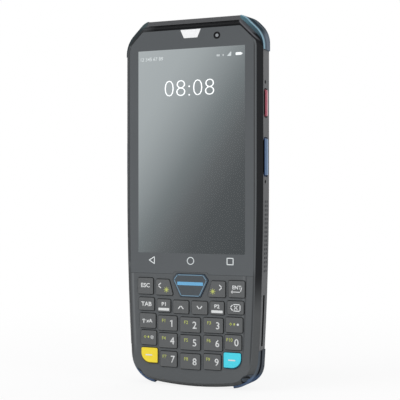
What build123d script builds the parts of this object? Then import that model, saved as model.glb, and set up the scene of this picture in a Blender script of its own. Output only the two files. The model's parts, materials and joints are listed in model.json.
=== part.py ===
from build123d import *
import math
import os

# Portable barcode data terminal, in millimetres.
# X runs to the right of the display, Y from the front to the back, Z from the foot to the head.
# The origin is at the middle of the foot, halfway through the depth.

# ---- display, which sets the size of the handset ----
ACTIVE_WIDTH = 62.1
ACTIVE_HEIGHT = 110.4
ACTIVE_FOOT_Z = 72.1
SIDE_MARGIN = 8.85           # from the lit area to the outside of the side band
HEAD_MARGIN = 16.6           # from the lit area to the head
ACTIVE_MID_Z = ACTIVE_FOOT_Z + ACTIVE_HEIGHT / 2

# ---- outline of the handset, seen from the front ----
HALF_WIDTH = ACTIVE_WIDTH / 2 + SIDE_MARGIN
LENGTH = ACTIVE_FOOT_Z + ACTIVE_HEIGHT + HEAD_MARGIN
CORNER_LEG = 12.4            # leg of the 45 degree cut at each top corner
SHOULDER_RADIUS = 12.4       # where a top cut runs into the side
CROWN_RADIUS = 1.5           # where a top cut runs into the head
WAIST_Z = 110.0              # below this height the sides draw in
FOOT_DRAW = 3.7              # how far the sides draw in, at the foot
FOOT_ARC_RADIUS = 170.0      # the foot is a shallow arc
FOOT_CORNER_RADIUS = 16.0

# ---- depth ----
DEPTH = 20.0                 # over the key tops and the back
KEY_PROUD = 0.6              # keys stand out of the face
SLOPE_DEPTH = 4.0            # depth of the sloped edge of the front housing
BAND_DEPTH = 9.7             # depth of the side band
BACK_TAPER = 5.5             # how far the back draws in all round
FACE_Y = -DEPTH / 2 + KEY_PROUD
BAND_FRONT_Y = FACE_Y + SLOPE_DEPTH
BAND_BACK_Y = BAND_FRONT_Y + BAND_DEPTH
BACK_Y = DEPTH / 2

# ---- front housing ----
FRONT_WALL = 1.8
SIDE_REVEAL = 0.15           # how far the front housing stays inside the band at the sides and foot
HEAD_REVEAL = 2.7            # the same at the head, where the band shows as a rim
CUT_REVEAL = 1.1             # the same at the top cuts, where the bumpers show
CUT_LIP = 0.3                # the same at the top cuts, measured at the face
SLOPE_RUN = 2.3              # width of the sloped edge
RIM_WIDTH = 2.1              # rear rim that lands on the band
SCOOP_RADIUS = 5.0           # finger scoop at each lower corner
SCOOP_IN = 6.6               # from the side band
SCOOP_Z = 3.4
SCOOP_WALL = 0.6             # left round the scoop, inside the front housing
FACE_INNER_Y = FACE_Y + FRONT_WALL

# ---- glass and display ----
GLASS_BORDER = 1.1           # lip between the slope and the glass
GLASS_THICK = 1.1
GLASS_FOOT_Z = 60.9
GLASS_GAP = 0.1
NOTCH_HALF = 9.6             # notch in the glass over the scan key
NOTCH_RISE = 1.1
NOTCH_SLANT = 1.2
NOTCH_START = 1.0            # below the foot of the glass
PANEL_SIDE = 2.9             # panel border beside the active area
PANEL_HEAD = 3.0
PANEL_FOOT = 5.1
PANEL_THICK = 3.6
PANEL_GAP = 0.2
GLASS_BACK_Y = FACE_Y + GLASS_THICK
CHASSIS_FRONT_Y = GLASS_BACK_Y + PANEL_THICK

# ---- earpiece and front camera ----
EARPIECE_TOP_HALF = 5.9
EARPIECE_FOOT_HALF = 3.9
EARPIECE_HEIGHT = 4.5
EARPIECE_EDGE = 0.3          # glass left above the earpiece cover
EARPIECE_GAP = 0.05
SOUND_SLOT_WIDTH = 5.0
SOUND_SLOT_HEIGHT = 1.0
RECEIVER_WIDTH = 12.0
RECEIVER_HEIGHT = 5.0
RECEIVER_THICK = 2.4
CAMERA_X = 15.2
CAMERA_DROP = 10.5           # below the head
CAMERA_RADIUS = 1.9
CAMERA_BODY_RADIUS = 2.9
CAMERA_GAP = 0.05
CAMERA_RECESS = 0.1
CAMERA_Z = LENGTH - CAMERA_DROP

# ---- keys on the face ----
KEY_GAP = 0.2                # round each key, in its aperture
KEY_FLANGE = 0.35            # flange outside the key, behind the wall
KEY_FLANGE_THICK = 0.6
KEY_STOP_GAP = 0.1           # flange to wall, at rest
KEY_CORNER = 0.9
KEY_TRAVEL = 0.5
KEY_EDGE = 0.3               # rounded edge of each cap
MAT_GAP = 0.1                # left between a pressed key and the mat
SOFT_CORNER = 5.0            # outer corner of the yellow and cyan keys
# rows: middle height at the centre line, key height, rise at the outer key
ROW_1 = (53.3, 9.0, 0.5)
ROW_2 = (43.05, 7.2, 0.95)
ROW_3 = (33.7, 8.2, 1.15)
ROW_4 = (24.15, 8.1, 1.45)
ROW_5 = (14.0, 8.5, 1.95)
# columns of each row, from the outer one inwards: distance from the centre line, width
ROW_1_COLUMN = (26.5, 9.4)
ROW_2_COLUMNS = ((25.9, 9.5), (15.5, 8.1), (5.45, 9.3))
ROW_3_COLUMNS = ((25.15, 9.8), (13.3, 11.4))
ROW_4_COLUMNS = ((24.6, 9.5), (13.1, 11.0))
ROW_5_COLUMNS = ((24.1, 9.9), (12.7, 10.1))
MIDDLE_WIDTH = 11.9          # keys 2, 5 and 8
SCAN_TOP_HALF = 8.1          # scan key: half widths at its top, widest point and foot
SCAN_WIDE_HALF = 10.4
SCAN_FOOT_HALF = 5.9
SCAN_TOP_Z = 61.0
SCAN_WIDE_Z = 57.9
SCAN_FOOT_Z = 48.7
SCAN_CORNER = 0.7
ARROW_OUTER_X = 20.3         # left and right keys
ARROW_TOP_X = 12.3
ARROW_FOOT_X = 9.9
ARROW_TOP_Z = 57.8
ARROW_FOOT_Z = 49.1

# ---- keypad stack ----
MAT_MARGIN = 1.2             # mat above and below the keys
MAT_SIDE = 2.5               # mat inside the rim of the front housing
DOME_RADIUS = 2.0
DOME_THICK = 0.2
KEY_BOARD_THICK = 0.8
KEY_BOARD_MARGIN = 0.4       # board inside the edge of the mat

# ---- mid frame ----
FRAME_WALL = 2.4
GROOVE_Z = 36.8              # thin groove on each side, for a strap or a cradle
GROOVE_LENGTH = 27.0
GROOVE_WIDTH = 2.4
GROOVE_DEPTH = 1.3
GROOVE_Y = -1.1
PIP_RADIUS = 1.0             # pin holes beside the side keys
PIP_DEPTH = 0.8
PIP_Y = -2.1
RED_PIP_PAST = 4.0           # from the upper end of the red key
SCAN_PIP_PAST = 3.3          # from the lower end of the side scan key

# ---- corner bumpers ----
BUMPER_SEAT = 1.2            # how deep they sit in the band
BUMPER_PROUD = 0.6           # upper ones, out of the band
BUMPER_FRONT_CLIP = 11.9     # leg of the cut corner at their front
BUMPER_FRONT_CROWN = 8.0     # rounding of that cut at the head
BUMPER_FRONT_SHOULDER = 15.0  # and at the side
BUMPER_BACK_CLIP = 9.3       # the same three at their back
BUMPER_BACK_CROWN = 12.0
BUMPER_BACK_SHOULDER = 14.0
BUMPER_FRONT_EDGE = 0.5
BUMPER_FOOT_PROUD = 0.15     # lower ones, out of the band at its front
BUMPER_FOOT_BACK_PROUD = 0.4  # the same at its back
BUMPER_FOOT_BACK_RADIUS = 11.0  # their round corner at the back
BUMPER_FOOT_EDGE = 0.8
BUMPER_FOOT_DROP = 1.1       # how far their front reaches below the band
BUMPER_HEAD_RUN = 12.8       # along the head, from the side band
BUMPER_SIDE_RUN = 18.6       # down the side, from the head
BUMPER_FOOT_RUN = 16.8       # along the foot, from the side band
BUMPER_LOW_Z = 21.0

# ---- side keys ----
SIDE_KEY_PROUD = 0.55
SIDE_KEY_GAP = 0.2
SIDE_KEY_FLANGE = 0.8
SIDE_KEY_FLANGE_THICK = 0.6
SIDE_KEY_STOP_GAP = 0.1
SIDE_KEY_TRAVEL = 0.4
SIDE_KEY_CORNER = 1.2
RECESS_PAST = 0.8            # shallow pocket in the band, round each side key
RECESS_DEPTH = 0.5
RED_KEY_DROP = 46.8          # below the head
RED_KEY_LENGTH = 14.0
RED_KEY_HEIGHT = 4.6
SCAN_SIDE_DROP = 75.4
SCAN_SIDE_LENGTH = 19.4
SCAN_SIDE_HEIGHT = 6.2
SIDE_KEY_Y = -1.5
ROCKER_DROP = 46.1
ROCKER_LENGTH = 22.0
ROCKER_HEIGHT = 4.6
ROCKER_FLANGE_LENGTH = 5.0   # only at its middle, so that it can tip
SWITCH_THICK = 1.2
SWITCH_SIZE = 3.4
SWITCH_REST_GAP = 0.05       # left between a pressed key and its switch
RED_KEY_Z = LENGTH - RED_KEY_DROP
SCAN_SIDE_Z = LENGTH - SCAN_SIDE_DROP
ROCKER_Z = LENGTH - ROCKER_DROP

# ---- chassis and boards ----
CHASSIS_THICK = 1.0
CHASSIS_GAP = 0.2
TAB_THICK = 0.8
TAB_DEPTH = 5.4
TAB_MARGIN = 1.5
SPACER_RADIUS = 2.5
SPACER_HEIGHT = 1.0
BOARD_THICK = 1.0
BOARD_SIDE = 10.8            # from the side band
BOARD_HEAD = 20.1            # below the head
BOARD_PAST_BAY = 6.0         # above the battery bay
BOARD_HALF = HALF_WIDTH - BOARD_SIDE
BOARD_HEAD_Z = LENGTH - BOARD_HEAD
SHIELD_HEIGHT = 1.6
SHIELD_WIDTH = 18.6
CHASSIS_BACK_Y = CHASSIS_FRONT_Y + CHASSIS_THICK
BOARD_FRONT_Y = CHASSIS_BACK_Y + SPACER_HEIGHT
BOARD_BACK_Y = BOARD_FRONT_Y + BOARD_THICK

# ---- rear housing, battery and cover ----
REAR_WALL = 1.8
SEAM = 0.25                  # rear housing inside the band
BAY_SIDE = 12.2              # from the side band
BAY_FOOT_Z = 38.0
BAY_HEIGHT = 82.0
BAY_WALL = 1.2
BATTERY_GAP = 0.3
BATTERY_THICK = 9.2
COVER_LAP = 1.6              # cover past the bay, on its ledge
COVER_GAP = 0.2
COVER_CORNER = 3.0
GRIP_COUNT = 5               # ribs at the foot of the cover
GRIP_PITCH = 2.2
GRIP_WIDTH = 1.0
GRIP_DEPTH = 0.5
GRIP_LENGTH = 22.0
CONTACT_COUNT = 4
CONTACT_PITCH = 2.5
CONTACT_WIDTH = 1.2
CONTACT_HEIGHT = 3.0
CONTACT_RAISE = 1.0           # carrier behind the floor of the bay
CONTACT_EDGE = 0.4
BAY_HALF = HALF_WIDTH - BAY_SIDE
BAY_HEAD_Z = BAY_FOOT_Z + BAY_HEIGHT
BOARD_FOOT_Z = BAY_HEAD_Z + BOARD_PAST_BAY

# ---- screws ----
SCREW_HEAD_RADIUS = 2.0
SCREW_HEAD_HEIGHT = 1.2
SCREW_RADIUS = 1.0
SCREW_GAP = 0.1
SCREW_SINK = 0.3
SOCKET_RADIUS = 0.9
SOCKET_DEPTH = 0.7
POST_RADIUS = 3.2
HEAD_POST = (12.8, 15.1)     # from the side band, below the head
BAY_POST = (9.8, 10.0)       # from the side band, above the battery bay
FOOT_POST = (11.8, 22.0)     # from the side band, above the foot

# ---- scan window and engine, in the head ----
WINDOW_WIDTH = 24.0
WINDOW_DEPTH = 6.4
WINDOW_THICK = 1.4
WINDOW_SINK = 0.4
WINDOW_GAP = 0.05
WINDOW_Y = -0.8
ENGINE_WIDTH = 21.0
ENGINE_DEPTH = 6.6
ENGINE_HEIGHT = 13.5
ENGINE_CLEAR = 0.6

# ---- rear camera, flash, loudspeaker and USB socket ----
REAR_CAMERA_DROP = 33.1      # below the head
REAR_CAMERA_RADIUS = 4.4
REAR_CAMERA_BASE = 10.0
REAR_CAMERA_BASE_THICK = 3.0
FLASH_X = 10.5
FLASH_RADIUS = 2.2
FLASH_STEM_RADIUS = 1.4
LENS_SINK = 0.3
LENS_GAP = 0.1
REAR_CAMERA_Z = LENGTH - REAR_CAMERA_DROP
SPEAKER_WIDTH = 18.0
SPEAKER_HEIGHT = 11.0
SPEAKER_THICK = 3.6
SPEAKER_Z = 22.0
SLOT_COUNT = 5
SLOT_PITCH = 2.0
SLOT_WIDTH = 1.0
SLOT_LENGTH = 12.0
USB_WIDTH = 8.94
USB_THICK = 3.26
USB_LENGTH = 7.3
USB_SHELL = 0.3
USB_TONGUE = 0.7
USB_SINK = 0.6
USB_GAP = 0.1

ROOT_TWO = math.sqrt(2)
TOUCH = 0.01                 # closer than this, two places are the same


# ---- helpers ----
def slab(shape, back, front):
    """Solid between two depths, from a shape drawn in X and Z."""
    return extrude(Plane.XZ.offset(-back) * shape, amount=back - front)


def at(x, z, shape):
    """Move a drawn shape to a place on the face."""
    return Pos(x, z) * shape


def box(x, y, z):
    """Box between two corners, each given as a pair along one axis."""
    size = Box(x[1] - x[0], y[1] - y[0], z[1] - z[0])
    return Pos((x[0] + x[1]) / 2, (y[0] + y[1]) / 2, (z[0] + z[1]) / 2) * size


def rod(radius, x, z, back, front):
    """Round bar along the depth."""
    return slab(at(x, z, Circle(radius)), back, front)


def arcs_meet(side_radius, side_x, foot_radius, foot_z):
    """Where the side arc, level with the waist, meets the arc of the foot."""
    rise = foot_z - WAIST_Z
    run = -side_x
    apart = math.hypot(run, rise)
    along = (side_radius ** 2 - foot_radius ** 2 + apart ** 2) / (2 * apart)
    across = math.sqrt(side_radius ** 2 - along ** 2)
    x = side_x + (along * run + across * rise) / apart
    z = WAIST_Z + (along * rise - across * run) / apart
    return x, z


def outline(inset=0.0, head=0.0, cut=0.0, foot_corner=FOOT_CORNER_RADIUS):
    """Front outline of the handset, drawn in all round, and further at the head and the top cuts."""
    half = HALF_WIDTH - inset
    top = LENGTH - inset - head
    reach = HALF_WIDTH - CORNER_LEG + LENGTH - (inset + cut) * ROOT_TWO
    top_half = reach - top
    shoulder = reach - half
    side_radius = (WAIST_Z ** 2 + FOOT_DRAW ** 2) / (2 * FOOT_DRAW)
    side_x = HALF_WIDTH - side_radius
    foot_x, foot_z = arcs_meet(side_radius - inset, side_x, FOOT_ARC_RADIUS - inset, FOOT_ARC_RADIUS)
    edges = [Line((-top_half, top), (top_half, top))]
    for way in (1, -1):
        edges.append(Line((way * top_half, top), (way * half, shoulder)))
        edges.append(Line((way * half, shoulder), (way * half, WAIST_Z)))
        edges.append(TangentArc((way * half, WAIST_Z), (way * foot_x, foot_z), tangent=(0, -1)))
    edges.append(ThreePointArc((foot_x, foot_z), (0, inset), (-foot_x, foot_z)))
    face = make_face(edges)
    face = fillet(face.vertices().sort_by(Axis.Y)[:2], foot_corner - inset)
    head_corners = face.vertices().filter_by(lambda v: abs(v.Y - top) < TOUCH)
    face = fillet(head_corners, CROWN_RADIUS)
    shoulders = face.vertices().filter_by(lambda v: abs(v.Y - shoulder) < TOUCH)
    return fillet(shoulders, SHOULDER_RADIUS - inset)


def mirrored(solid):
    """The same solid on the other side of the centre line."""
    return mirror(solid, about=Plane.YZ)


# ---- glass and display ----
def front_outline(inset=0.0, cut=CUT_REVEAL):
    """Rear edge of the front housing, or a line further in."""
    return outline(SIDE_REVEAL + inset, HEAD_REVEAL - SIDE_REVEAL, cut - SIDE_REVEAL)


def glass_shape(grow=0.0):
    """Glass outline: clipped top corners and a notch over the scan key."""
    foot = GLASS_FOOT_Z - grow
    whole = front_outline(SLOPE_RUN + GLASS_BORDER - grow, CUT_LIP)
    upper = at(0, foot + LENGTH / 2, Rectangle(2 * HALF_WIDTH, LENGTH))
    notch_half = NOTCH_HALF - grow
    rise = foot + NOTCH_RISE
    wide_left = (-notch_half - NOTCH_SLANT, foot - NOTCH_START)
    wide_right = (notch_half + NOTCH_SLANT, foot - NOTCH_START)
    notch = make_face(Polyline(wide_left, (-notch_half, rise), (notch_half, rise), wide_right, close=True))
    return whole & upper - notch


def earpiece_shape(grow=0.0):
    """Trapezoid, wider at the top."""
    top = LENGTH - HEAD_REVEAL - SLOPE_RUN - GLASS_BORDER - EARPIECE_EDGE
    foot = top - EARPIECE_HEIGHT
    wide = EARPIECE_TOP_HALF
    slim = EARPIECE_FOOT_HALF
    shape = make_face(Polyline((-wide, top), (wide, top), (slim, foot), (-slim, foot), close=True))
    return offset(shape, grow, kind=Kind.INTERSECTION) if grow else shape


EARPIECE_MID_Z = LENGTH - HEAD_REVEAL - SLOPE_RUN - GLASS_BORDER - EARPIECE_EDGE - EARPIECE_HEIGHT / 2


def display_glass():
    glass = slab(glass_shape(), GLASS_BACK_Y, FACE_Y)
    glass -= slab(earpiece_shape(EARPIECE_GAP), GLASS_BACK_Y, FACE_Y)
    return glass - rod(CAMERA_RADIUS + CAMERA_GAP, CAMERA_X, CAMERA_Z, GLASS_BACK_Y, FACE_Y)


def panel_shape(grow=0.0):
    width = ACTIVE_WIDTH + 2 * (PANEL_SIDE + grow)
    height = ACTIVE_HEIGHT + PANEL_HEAD + PANEL_FOOT + 2 * grow
    return at(0, ACTIVE_MID_Z + (PANEL_HEAD - PANEL_FOOT) / 2, Rectangle(width, height))


def display_panel():
    return slab(panel_shape(), CHASSIS_FRONT_Y, GLASS_BACK_Y)


def earpiece_cover():
    return slab(earpiece_shape(), GLASS_BACK_Y, FACE_Y)


def receiver():
    shape = at(0, EARPIECE_MID_Z, Rectangle(RECEIVER_WIDTH, RECEIVER_HEIGHT))
    return slab(shape, FACE_INNER_Y + RECEIVER_THICK, FACE_INNER_Y)


def front_camera():
    barrel = rod(CAMERA_RADIUS, CAMERA_X, CAMERA_Z, FACE_INNER_Y, FACE_Y + CAMERA_RECESS)
    return barrel + rod(CAMERA_BODY_RADIUS, CAMERA_X, CAMERA_Z, CHASSIS_FRONT_Y, FACE_INNER_Y)


# ---- keys on the face ----
def rounded_block(x, z, width, height):
    return at(x, z, RectangleRounded(width, height, KEY_CORNER))


def corner_block(x, z, width, height):
    """Key whose outer lower corner is drawn round."""
    way = 1 if x > 0 else -1
    shape = at(x, z, Rectangle(width, height))
    outer = [v for v in shape.vertices() if way * (v.X - x) > 0 and v.Y < z]
    shape = fillet(outer, SOFT_CORNER)
    top = z + height / 2 - TOUCH
    inner = TOUCH - width / 2
    others = [v for v in shape.vertices() if v.Y > top or way * (v.X - x) < inner]
    return fillet(others, KEY_CORNER)


def scan_shape():
    top = SCAN_TOP_HALF
    wide = SCAN_WIDE_HALF
    foot = SCAN_FOOT_HALF
    points = [(-top, SCAN_TOP_Z), (top, SCAN_TOP_Z), (wide, SCAN_WIDE_Z)]
    points += [(foot, SCAN_FOOT_Z), (-foot, SCAN_FOOT_Z), (-wide, SCAN_WIDE_Z)]
    shape = make_face(Polyline(*points, close=True))
    return fillet(shape.vertices(), SCAN_CORNER)


def arrow_shape(way):
    """Left or right key, with a slanted side towards the scan key."""
    points = [(way * ARROW_OUTER_X, ARROW_TOP_Z), (way * ARROW_TOP_X, ARROW_TOP_Z)]
    points += [(way * ARROW_FOOT_X, ARROW_FOOT_Z), (way * ARROW_OUTER_X, ARROW_FOOT_Z)]
    shape = make_face(Polyline(*points, close=True))
    return fillet(shape.vertices(), KEY_CORNER)


def row_keys(row, columns, names, middle=None, shape=rounded_block):
    """Keys of one row by name: pairs from the outside in, then the middle key."""
    z, height, rise = row
    outer_x = columns[0][0]
    keys = {}
    for (x, width), pair in zip(columns, names):
        lift = rise * (x / outer_x) ** 2
        block = shape if x == outer_x else rounded_block
        for way, name in zip((-1, 1), pair):
            keys[name] = block(way * x, z + lift, width, height)
    if middle:
        keys[middle] = rounded_block(0, z, MIDDLE_WIDTH, height)
    return keys


def face_keys():
    """Outline of every key on the face, by name."""
    keys = row_keys(ROW_1, (ROW_1_COLUMN,), (("key_esc", "key_enter"),))
    keys["key_left"] = arrow_shape(-1)
    keys["key_right"] = arrow_shape(1)
    keys["key_scan"] = scan_shape()
    pairs = (("key_tab", "key_backspace"), ("key_p1", "key_p2"), ("key_up", "key_down"))
    keys.update(row_keys(ROW_2, ROW_2_COLUMNS, pairs))
    pairs = (("key_case", "key_star"), ("key_1", "key_3"))
    keys.update(row_keys(ROW_3, ROW_3_COLUMNS, pairs, "key_2"))
    pairs = (("key_hash", "key_0"), ("key_4", "key_6"))
    keys.update(row_keys(ROW_4, ROW_4_COLUMNS, pairs, "key_5"))
    pairs = (("key_yellow", "key_cyan"), ("key_7", "key_9"))
    keys.update(row_keys(ROW_5, ROW_5_COLUMNS, pairs, "key_8", corner_block))
    return keys


FLANGE_FRONT_Y = FACE_INNER_Y + KEY_STOP_GAP
FLANGE_BACK_Y = FLANGE_FRONT_Y + KEY_FLANGE_THICK
MAT_FRONT_Y = FLANGE_BACK_Y + KEY_TRAVEL + MAT_GAP
BOARD_KEY_FRONT_Y = CHASSIS_FRONT_Y - KEY_BOARD_THICK
DOME_FRONT_Y = BOARD_KEY_FRONT_Y - DOME_THICK


def key_cap(shape):
    """Cap with a rounded edge, on a wider flange that stays behind the wall."""
    cap = slab(shape, FLANGE_FRONT_Y, FACE_Y - KEY_PROUD)
    cap = fillet(cap.faces().sort_by(Axis.Y)[0].edges(), KEY_EDGE)
    flange = slab(offset(shape, KEY_FLANGE), FLANGE_BACK_Y, FLANGE_FRONT_Y)
    return cap + flange


def keypad_shape(inset):
    """Area behind all the keys, inside the rim of the front housing."""
    top = SCAN_TOP_Z + MAT_MARGIN - inset
    foot = ROW_5[0] - ROW_5[1] / 2 - MAT_MARGIN + inset
    area = at(0, (top + foot) / 2, Rectangle(2 * HALF_WIDTH, top - foot))
    return area & front_outline(RIM_WIDTH + MAT_SIDE + inset)


def keypad_mat():
    return slab(keypad_shape(0), DOME_FRONT_Y, MAT_FRONT_Y)


def keypad_board():
    return slab(keypad_shape(KEY_BOARD_MARGIN), CHASSIS_FRONT_Y, BOARD_KEY_FRONT_Y)


def dome_switches(keys):
    discs = []
    for shape in keys.values():
        middle = shape.bounding_box().center()
        discs.append(rod(DOME_RADIUS, middle.X, middle.Y, BOARD_KEY_FRONT_Y, DOME_FRONT_Y))
    return Compound(children=discs)


# ---- front housing ----
def front_housing(keys):
    rear_face = Plane.XZ.offset(-BAND_FRONT_Y) * front_outline()
    lip_face = Plane.XZ.offset(-FACE_Y) * front_outline(SLOPE_RUN, CUT_LIP)
    shell = loft([rear_face, lip_face], ruled=True)
    hollow = front_outline(RIM_WIDTH)
    for way in (1, -1):
        hollow -= at(way * (HALF_WIDTH - SCOOP_IN), SCOOP_Z, Circle(SCOOP_RADIUS + SCOOP_WALL))
    shell -= slab(hollow, BAND_FRONT_Y, FACE_INNER_Y)
    shell -= slab(glass_shape(GLASS_GAP), GLASS_BACK_Y, FACE_Y)
    shell -= slab(panel_shape(PANEL_GAP), FACE_INNER_Y, GLASS_BACK_Y)
    sound_slot = at(0, EARPIECE_MID_Z, Rectangle(SOUND_SLOT_WIDTH, SOUND_SLOT_HEIGHT))
    shell -= slab(sound_slot, FACE_INNER_Y, GLASS_BACK_Y)
    shell -= rod(CAMERA_RADIUS + CAMERA_GAP, CAMERA_X, CAMERA_Z, FACE_INNER_Y, GLASS_BACK_Y)
    for shape in keys.values():
        shell -= slab(offset(shape, KEY_GAP), FACE_INNER_Y, FACE_Y)
    for way in (1, -1):
        shell -= Pos(way * (HALF_WIDTH - SCOOP_IN), FACE_Y, SCOOP_Z) * Sphere(SCOOP_RADIUS)
    return shell


# ---- bumpers ----
def clipped_head(clip, crown, shoulder, inset=0.0):
    """Outline with cut and rounded upper corners, over the cut corners of the band."""
    half = HALF_WIDTH + BUMPER_PROUD - inset
    top = LENGTH + BUMPER_PROUD - inset
    leg = clip - (2 - ROOT_TWO) * inset
    right = ((half, 0), (half, top - leg), (half - leg, top))
    left = tuple((-x, z) for x, z in reversed(right))
    face = make_face(Polyline(*right, *left, close=True))
    face = fillet(face.vertices().filter_by(lambda v: abs(v.Y - top) < TOUCH), crown - inset)
    corners = face.vertices().filter_by(lambda v: abs(v.Y - top + leg) < TOUCH)
    return fillet(corners, shoulder - inset)


UPPER_SEAT = (HALF_WIDTH - BUMPER_HEAD_RUN + LENGTH / 2, LENGTH - BUMPER_SIDE_RUN + LENGTH / 2)
LOWER_SEAT = (HALF_WIDTH - BUMPER_FOOT_RUN + LENGTH / 2, BUMPER_LOW_Z - LENGTH / 2)


def bumper_seat(middle):
    """Space outside the seat of a right-hand bumper, round one corner of the band."""
    zone = slab(at(middle[0], middle[1], Rectangle(LENGTH, LENGTH)), BAND_BACK_Y, BAND_FRONT_Y)
    return zone - slab(outline(BUMPER_SEAT), BAND_BACK_Y, BAND_FRONT_Y)


def bumper(shapes, edge, middle):
    """Bumper from its outlines at the front, behind its edge and at the back."""
    depths = (BAND_FRONT_Y, BAND_FRONT_Y + edge, BAND_BACK_Y)
    faces = [Plane.XZ.offset(-y) * shape for y, shape in zip(depths, shapes)]
    return loft(faces, ruled=True) & bumper_seat(middle)


def upper_bumper():
    """Right-hand one: its cut corner gets smaller and rounder towards the back."""
    edge = BUMPER_FRONT_EDGE
    front_sizes = (BUMPER_FRONT_CLIP, BUMPER_FRONT_CROWN, BUMPER_FRONT_SHOULDER)
    front = clipped_head(*front_sizes, edge)
    behind = clipped_head(*front_sizes)
    back = clipped_head(BUMPER_BACK_CLIP, BUMPER_BACK_CROWN, BUMPER_BACK_SHOULDER)
    return bumper((front, behind, back), edge, UPPER_SEAT)


def lower_bumper():
    """Right-hand one: follows the round corner of the foot, and gets tighter towards the back."""
    edge = BUMPER_FOOT_EDGE
    drop = -BUMPER_FOOT_DROP
    front = at(0, drop, outline(edge - BUMPER_FOOT_PROUD))
    behind = at(0, drop, outline(-BUMPER_FOOT_PROUD))
    back = outline(-BUMPER_FOOT_BACK_PROUD, foot_corner=BUMPER_FOOT_BACK_RADIUS)
    return bumper((front, behind, back), edge, LOWER_SEAT)


# ---- side keys ----
BAND_INNER_X = HALF_WIDTH - FRAME_WALL
SIDE_FLANGE_X = BAND_INNER_X - SIDE_KEY_STOP_GAP - SIDE_KEY_FLANGE_THICK
SWITCH_FRONT_X = SIDE_FLANGE_X - SIDE_KEY_TRAVEL - SWITCH_REST_GAP
TAB_X = SWITCH_FRONT_X - SWITCH_THICK - TAB_THICK


def side_slab(z, length, height, corner, inner, outer):
    """Rounded block on the right-hand side, between two distances from the centre line."""
    shape = RectangleRounded(height, length, corner)
    plane = Plane(origin=(inner, SIDE_KEY_Y, z), x_dir=(0, 1, 0), z_dir=(1, 0, 0))
    return extrude(plane * shape, amount=outer - inner)


def side_key(z, length, height, flange_length):
    """Right-hand side key: cap through the band, flange inside it."""
    flange_front = SIDE_FLANGE_X + SIDE_KEY_FLANGE_THICK
    face = HALF_WIDTH + SIDE_KEY_PROUD
    cap = side_slab(z, length, height, SIDE_KEY_CORNER, SIDE_FLANGE_X, face)
    cap = fillet(cap.faces().sort_by(Axis.X)[-1].edges(), KEY_EDGE)
    wide = height + 2 * SIDE_KEY_FLANGE
    return cap + side_slab(z, flange_length, wide, SIDE_KEY_CORNER, SIDE_FLANGE_X, flange_front)


def sprung_key(z, length, height):
    """Side key that moves straight in, with a flange all round."""
    return side_key(z, length, height, length + 2 * SIDE_KEY_FLANGE)


def side_hole(z, length, height, grow, inner):
    """Block wider than a side key all round, from a distance outwards."""
    corner = SIDE_KEY_CORNER + grow
    return side_slab(z, length + 2 * grow, height + 2 * grow, corner, inner, HALF_WIDTH + FRAME_WALL)


def side_opening(z, length, height):
    """Opening for a side key, with a shallow pocket round its mouth."""
    hole = side_hole(z, length, height, SIDE_KEY_GAP, SIDE_FLANGE_X)
    return hole + side_hole(z, length, height, RECESS_PAST, HALF_WIDTH - RECESS_DEPTH)


def side_switches():
    """One switch behind each side key and one under each end of the rocker."""
    reach = ROCKER_LENGTH / 2 - SWITCH_SIZE
    places = [(1, RED_KEY_Z), (1, SCAN_SIDE_Z), (-1, SCAN_SIDE_Z)]
    places += [(-1, ROCKER_Z + reach), (-1, ROCKER_Z - reach)]
    parts = []
    for way, z in places:
        x = way * (SWITCH_FRONT_X - SWITCH_THICK / 2)
        parts.append(Pos(x, SIDE_KEY_Y, z) * Box(SWITCH_THICK, SWITCH_SIZE, SWITCH_SIZE))
    return Compound(children=parts)


# ---- mid frame ----
def scan_opening(grow):
    width = WINDOW_WIDTH / 2 + grow
    depth = WINDOW_DEPTH / 2 + grow
    z = (LENGTH - FRAME_WALL, LENGTH)
    return box((-width, width), (WINDOW_Y - depth, WINDOW_Y + depth), z)


def usb_solid(grow, length, foot_z):
    """Flat oval block of the USB socket's outline, along Z."""
    width = USB_WIDTH + 2 * grow
    thick = USB_THICK + 2 * grow
    shape = RectangleRounded(width, thick, thick / 2 - TOUCH)
    return extrude(Pos(0, CHASSIS_BACK_Y + USB_THICK / 2, foot_z) * shape, amount=length)


def mid_frame():
    ring = slab(outline(), BAND_BACK_Y, BAND_FRONT_Y)
    ring -= slab(outline(FRAME_WALL), BAND_BACK_Y, BAND_FRONT_Y)
    for middle in (UPPER_SEAT, LOWER_SEAT):
        seat = bumper_seat(middle)
        ring -= seat
        ring -= mirrored(seat)
    scan = side_opening(SCAN_SIDE_Z, SCAN_SIDE_LENGTH, SCAN_SIDE_HEIGHT)
    rocker = side_opening(ROCKER_Z, ROCKER_LENGTH, ROCKER_HEIGHT)
    ring -= side_opening(RED_KEY_Z, RED_KEY_LENGTH, RED_KEY_HEIGHT)
    ring -= scan
    ring -= mirrored(scan)
    ring -= mirrored(rocker)
    y = (GROOVE_Y - GROOVE_WIDTH / 2, GROOVE_Y + GROOVE_WIDTH / 2)
    z = (GROOVE_Z - GROOVE_LENGTH / 2, GROOVE_Z + GROOVE_LENGTH / 2)
    beyond = box((0, HALF_WIDTH + FRAME_WALL), y, z)
    groove = beyond - slab(outline(GROOVE_DEPTH), y[1], y[0])
    for way_groove in (groove, mirrored(groove)):
        ring -= way_groove
    pip_top = RED_KEY_Z + RED_KEY_LENGTH / 2 + RED_PIP_PAST
    pip_foot = SCAN_SIDE_Z - SCAN_SIDE_LENGTH / 2 - SCAN_PIP_PAST
    for z in (pip_top, pip_foot):
        plane = Plane(origin=(HALF_WIDTH - PIP_DEPTH, PIP_Y, z), x_dir=(0, 1, 0), z_dir=(1, 0, 0))
        ring -= extrude(plane * Circle(PIP_RADIUS), amount=2 * PIP_DEPTH)
    ring -= scan_opening(WINDOW_GAP)
    return ring - usb_solid(USB_GAP, 3 * FRAME_WALL, -FRAME_WALL)


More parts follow.
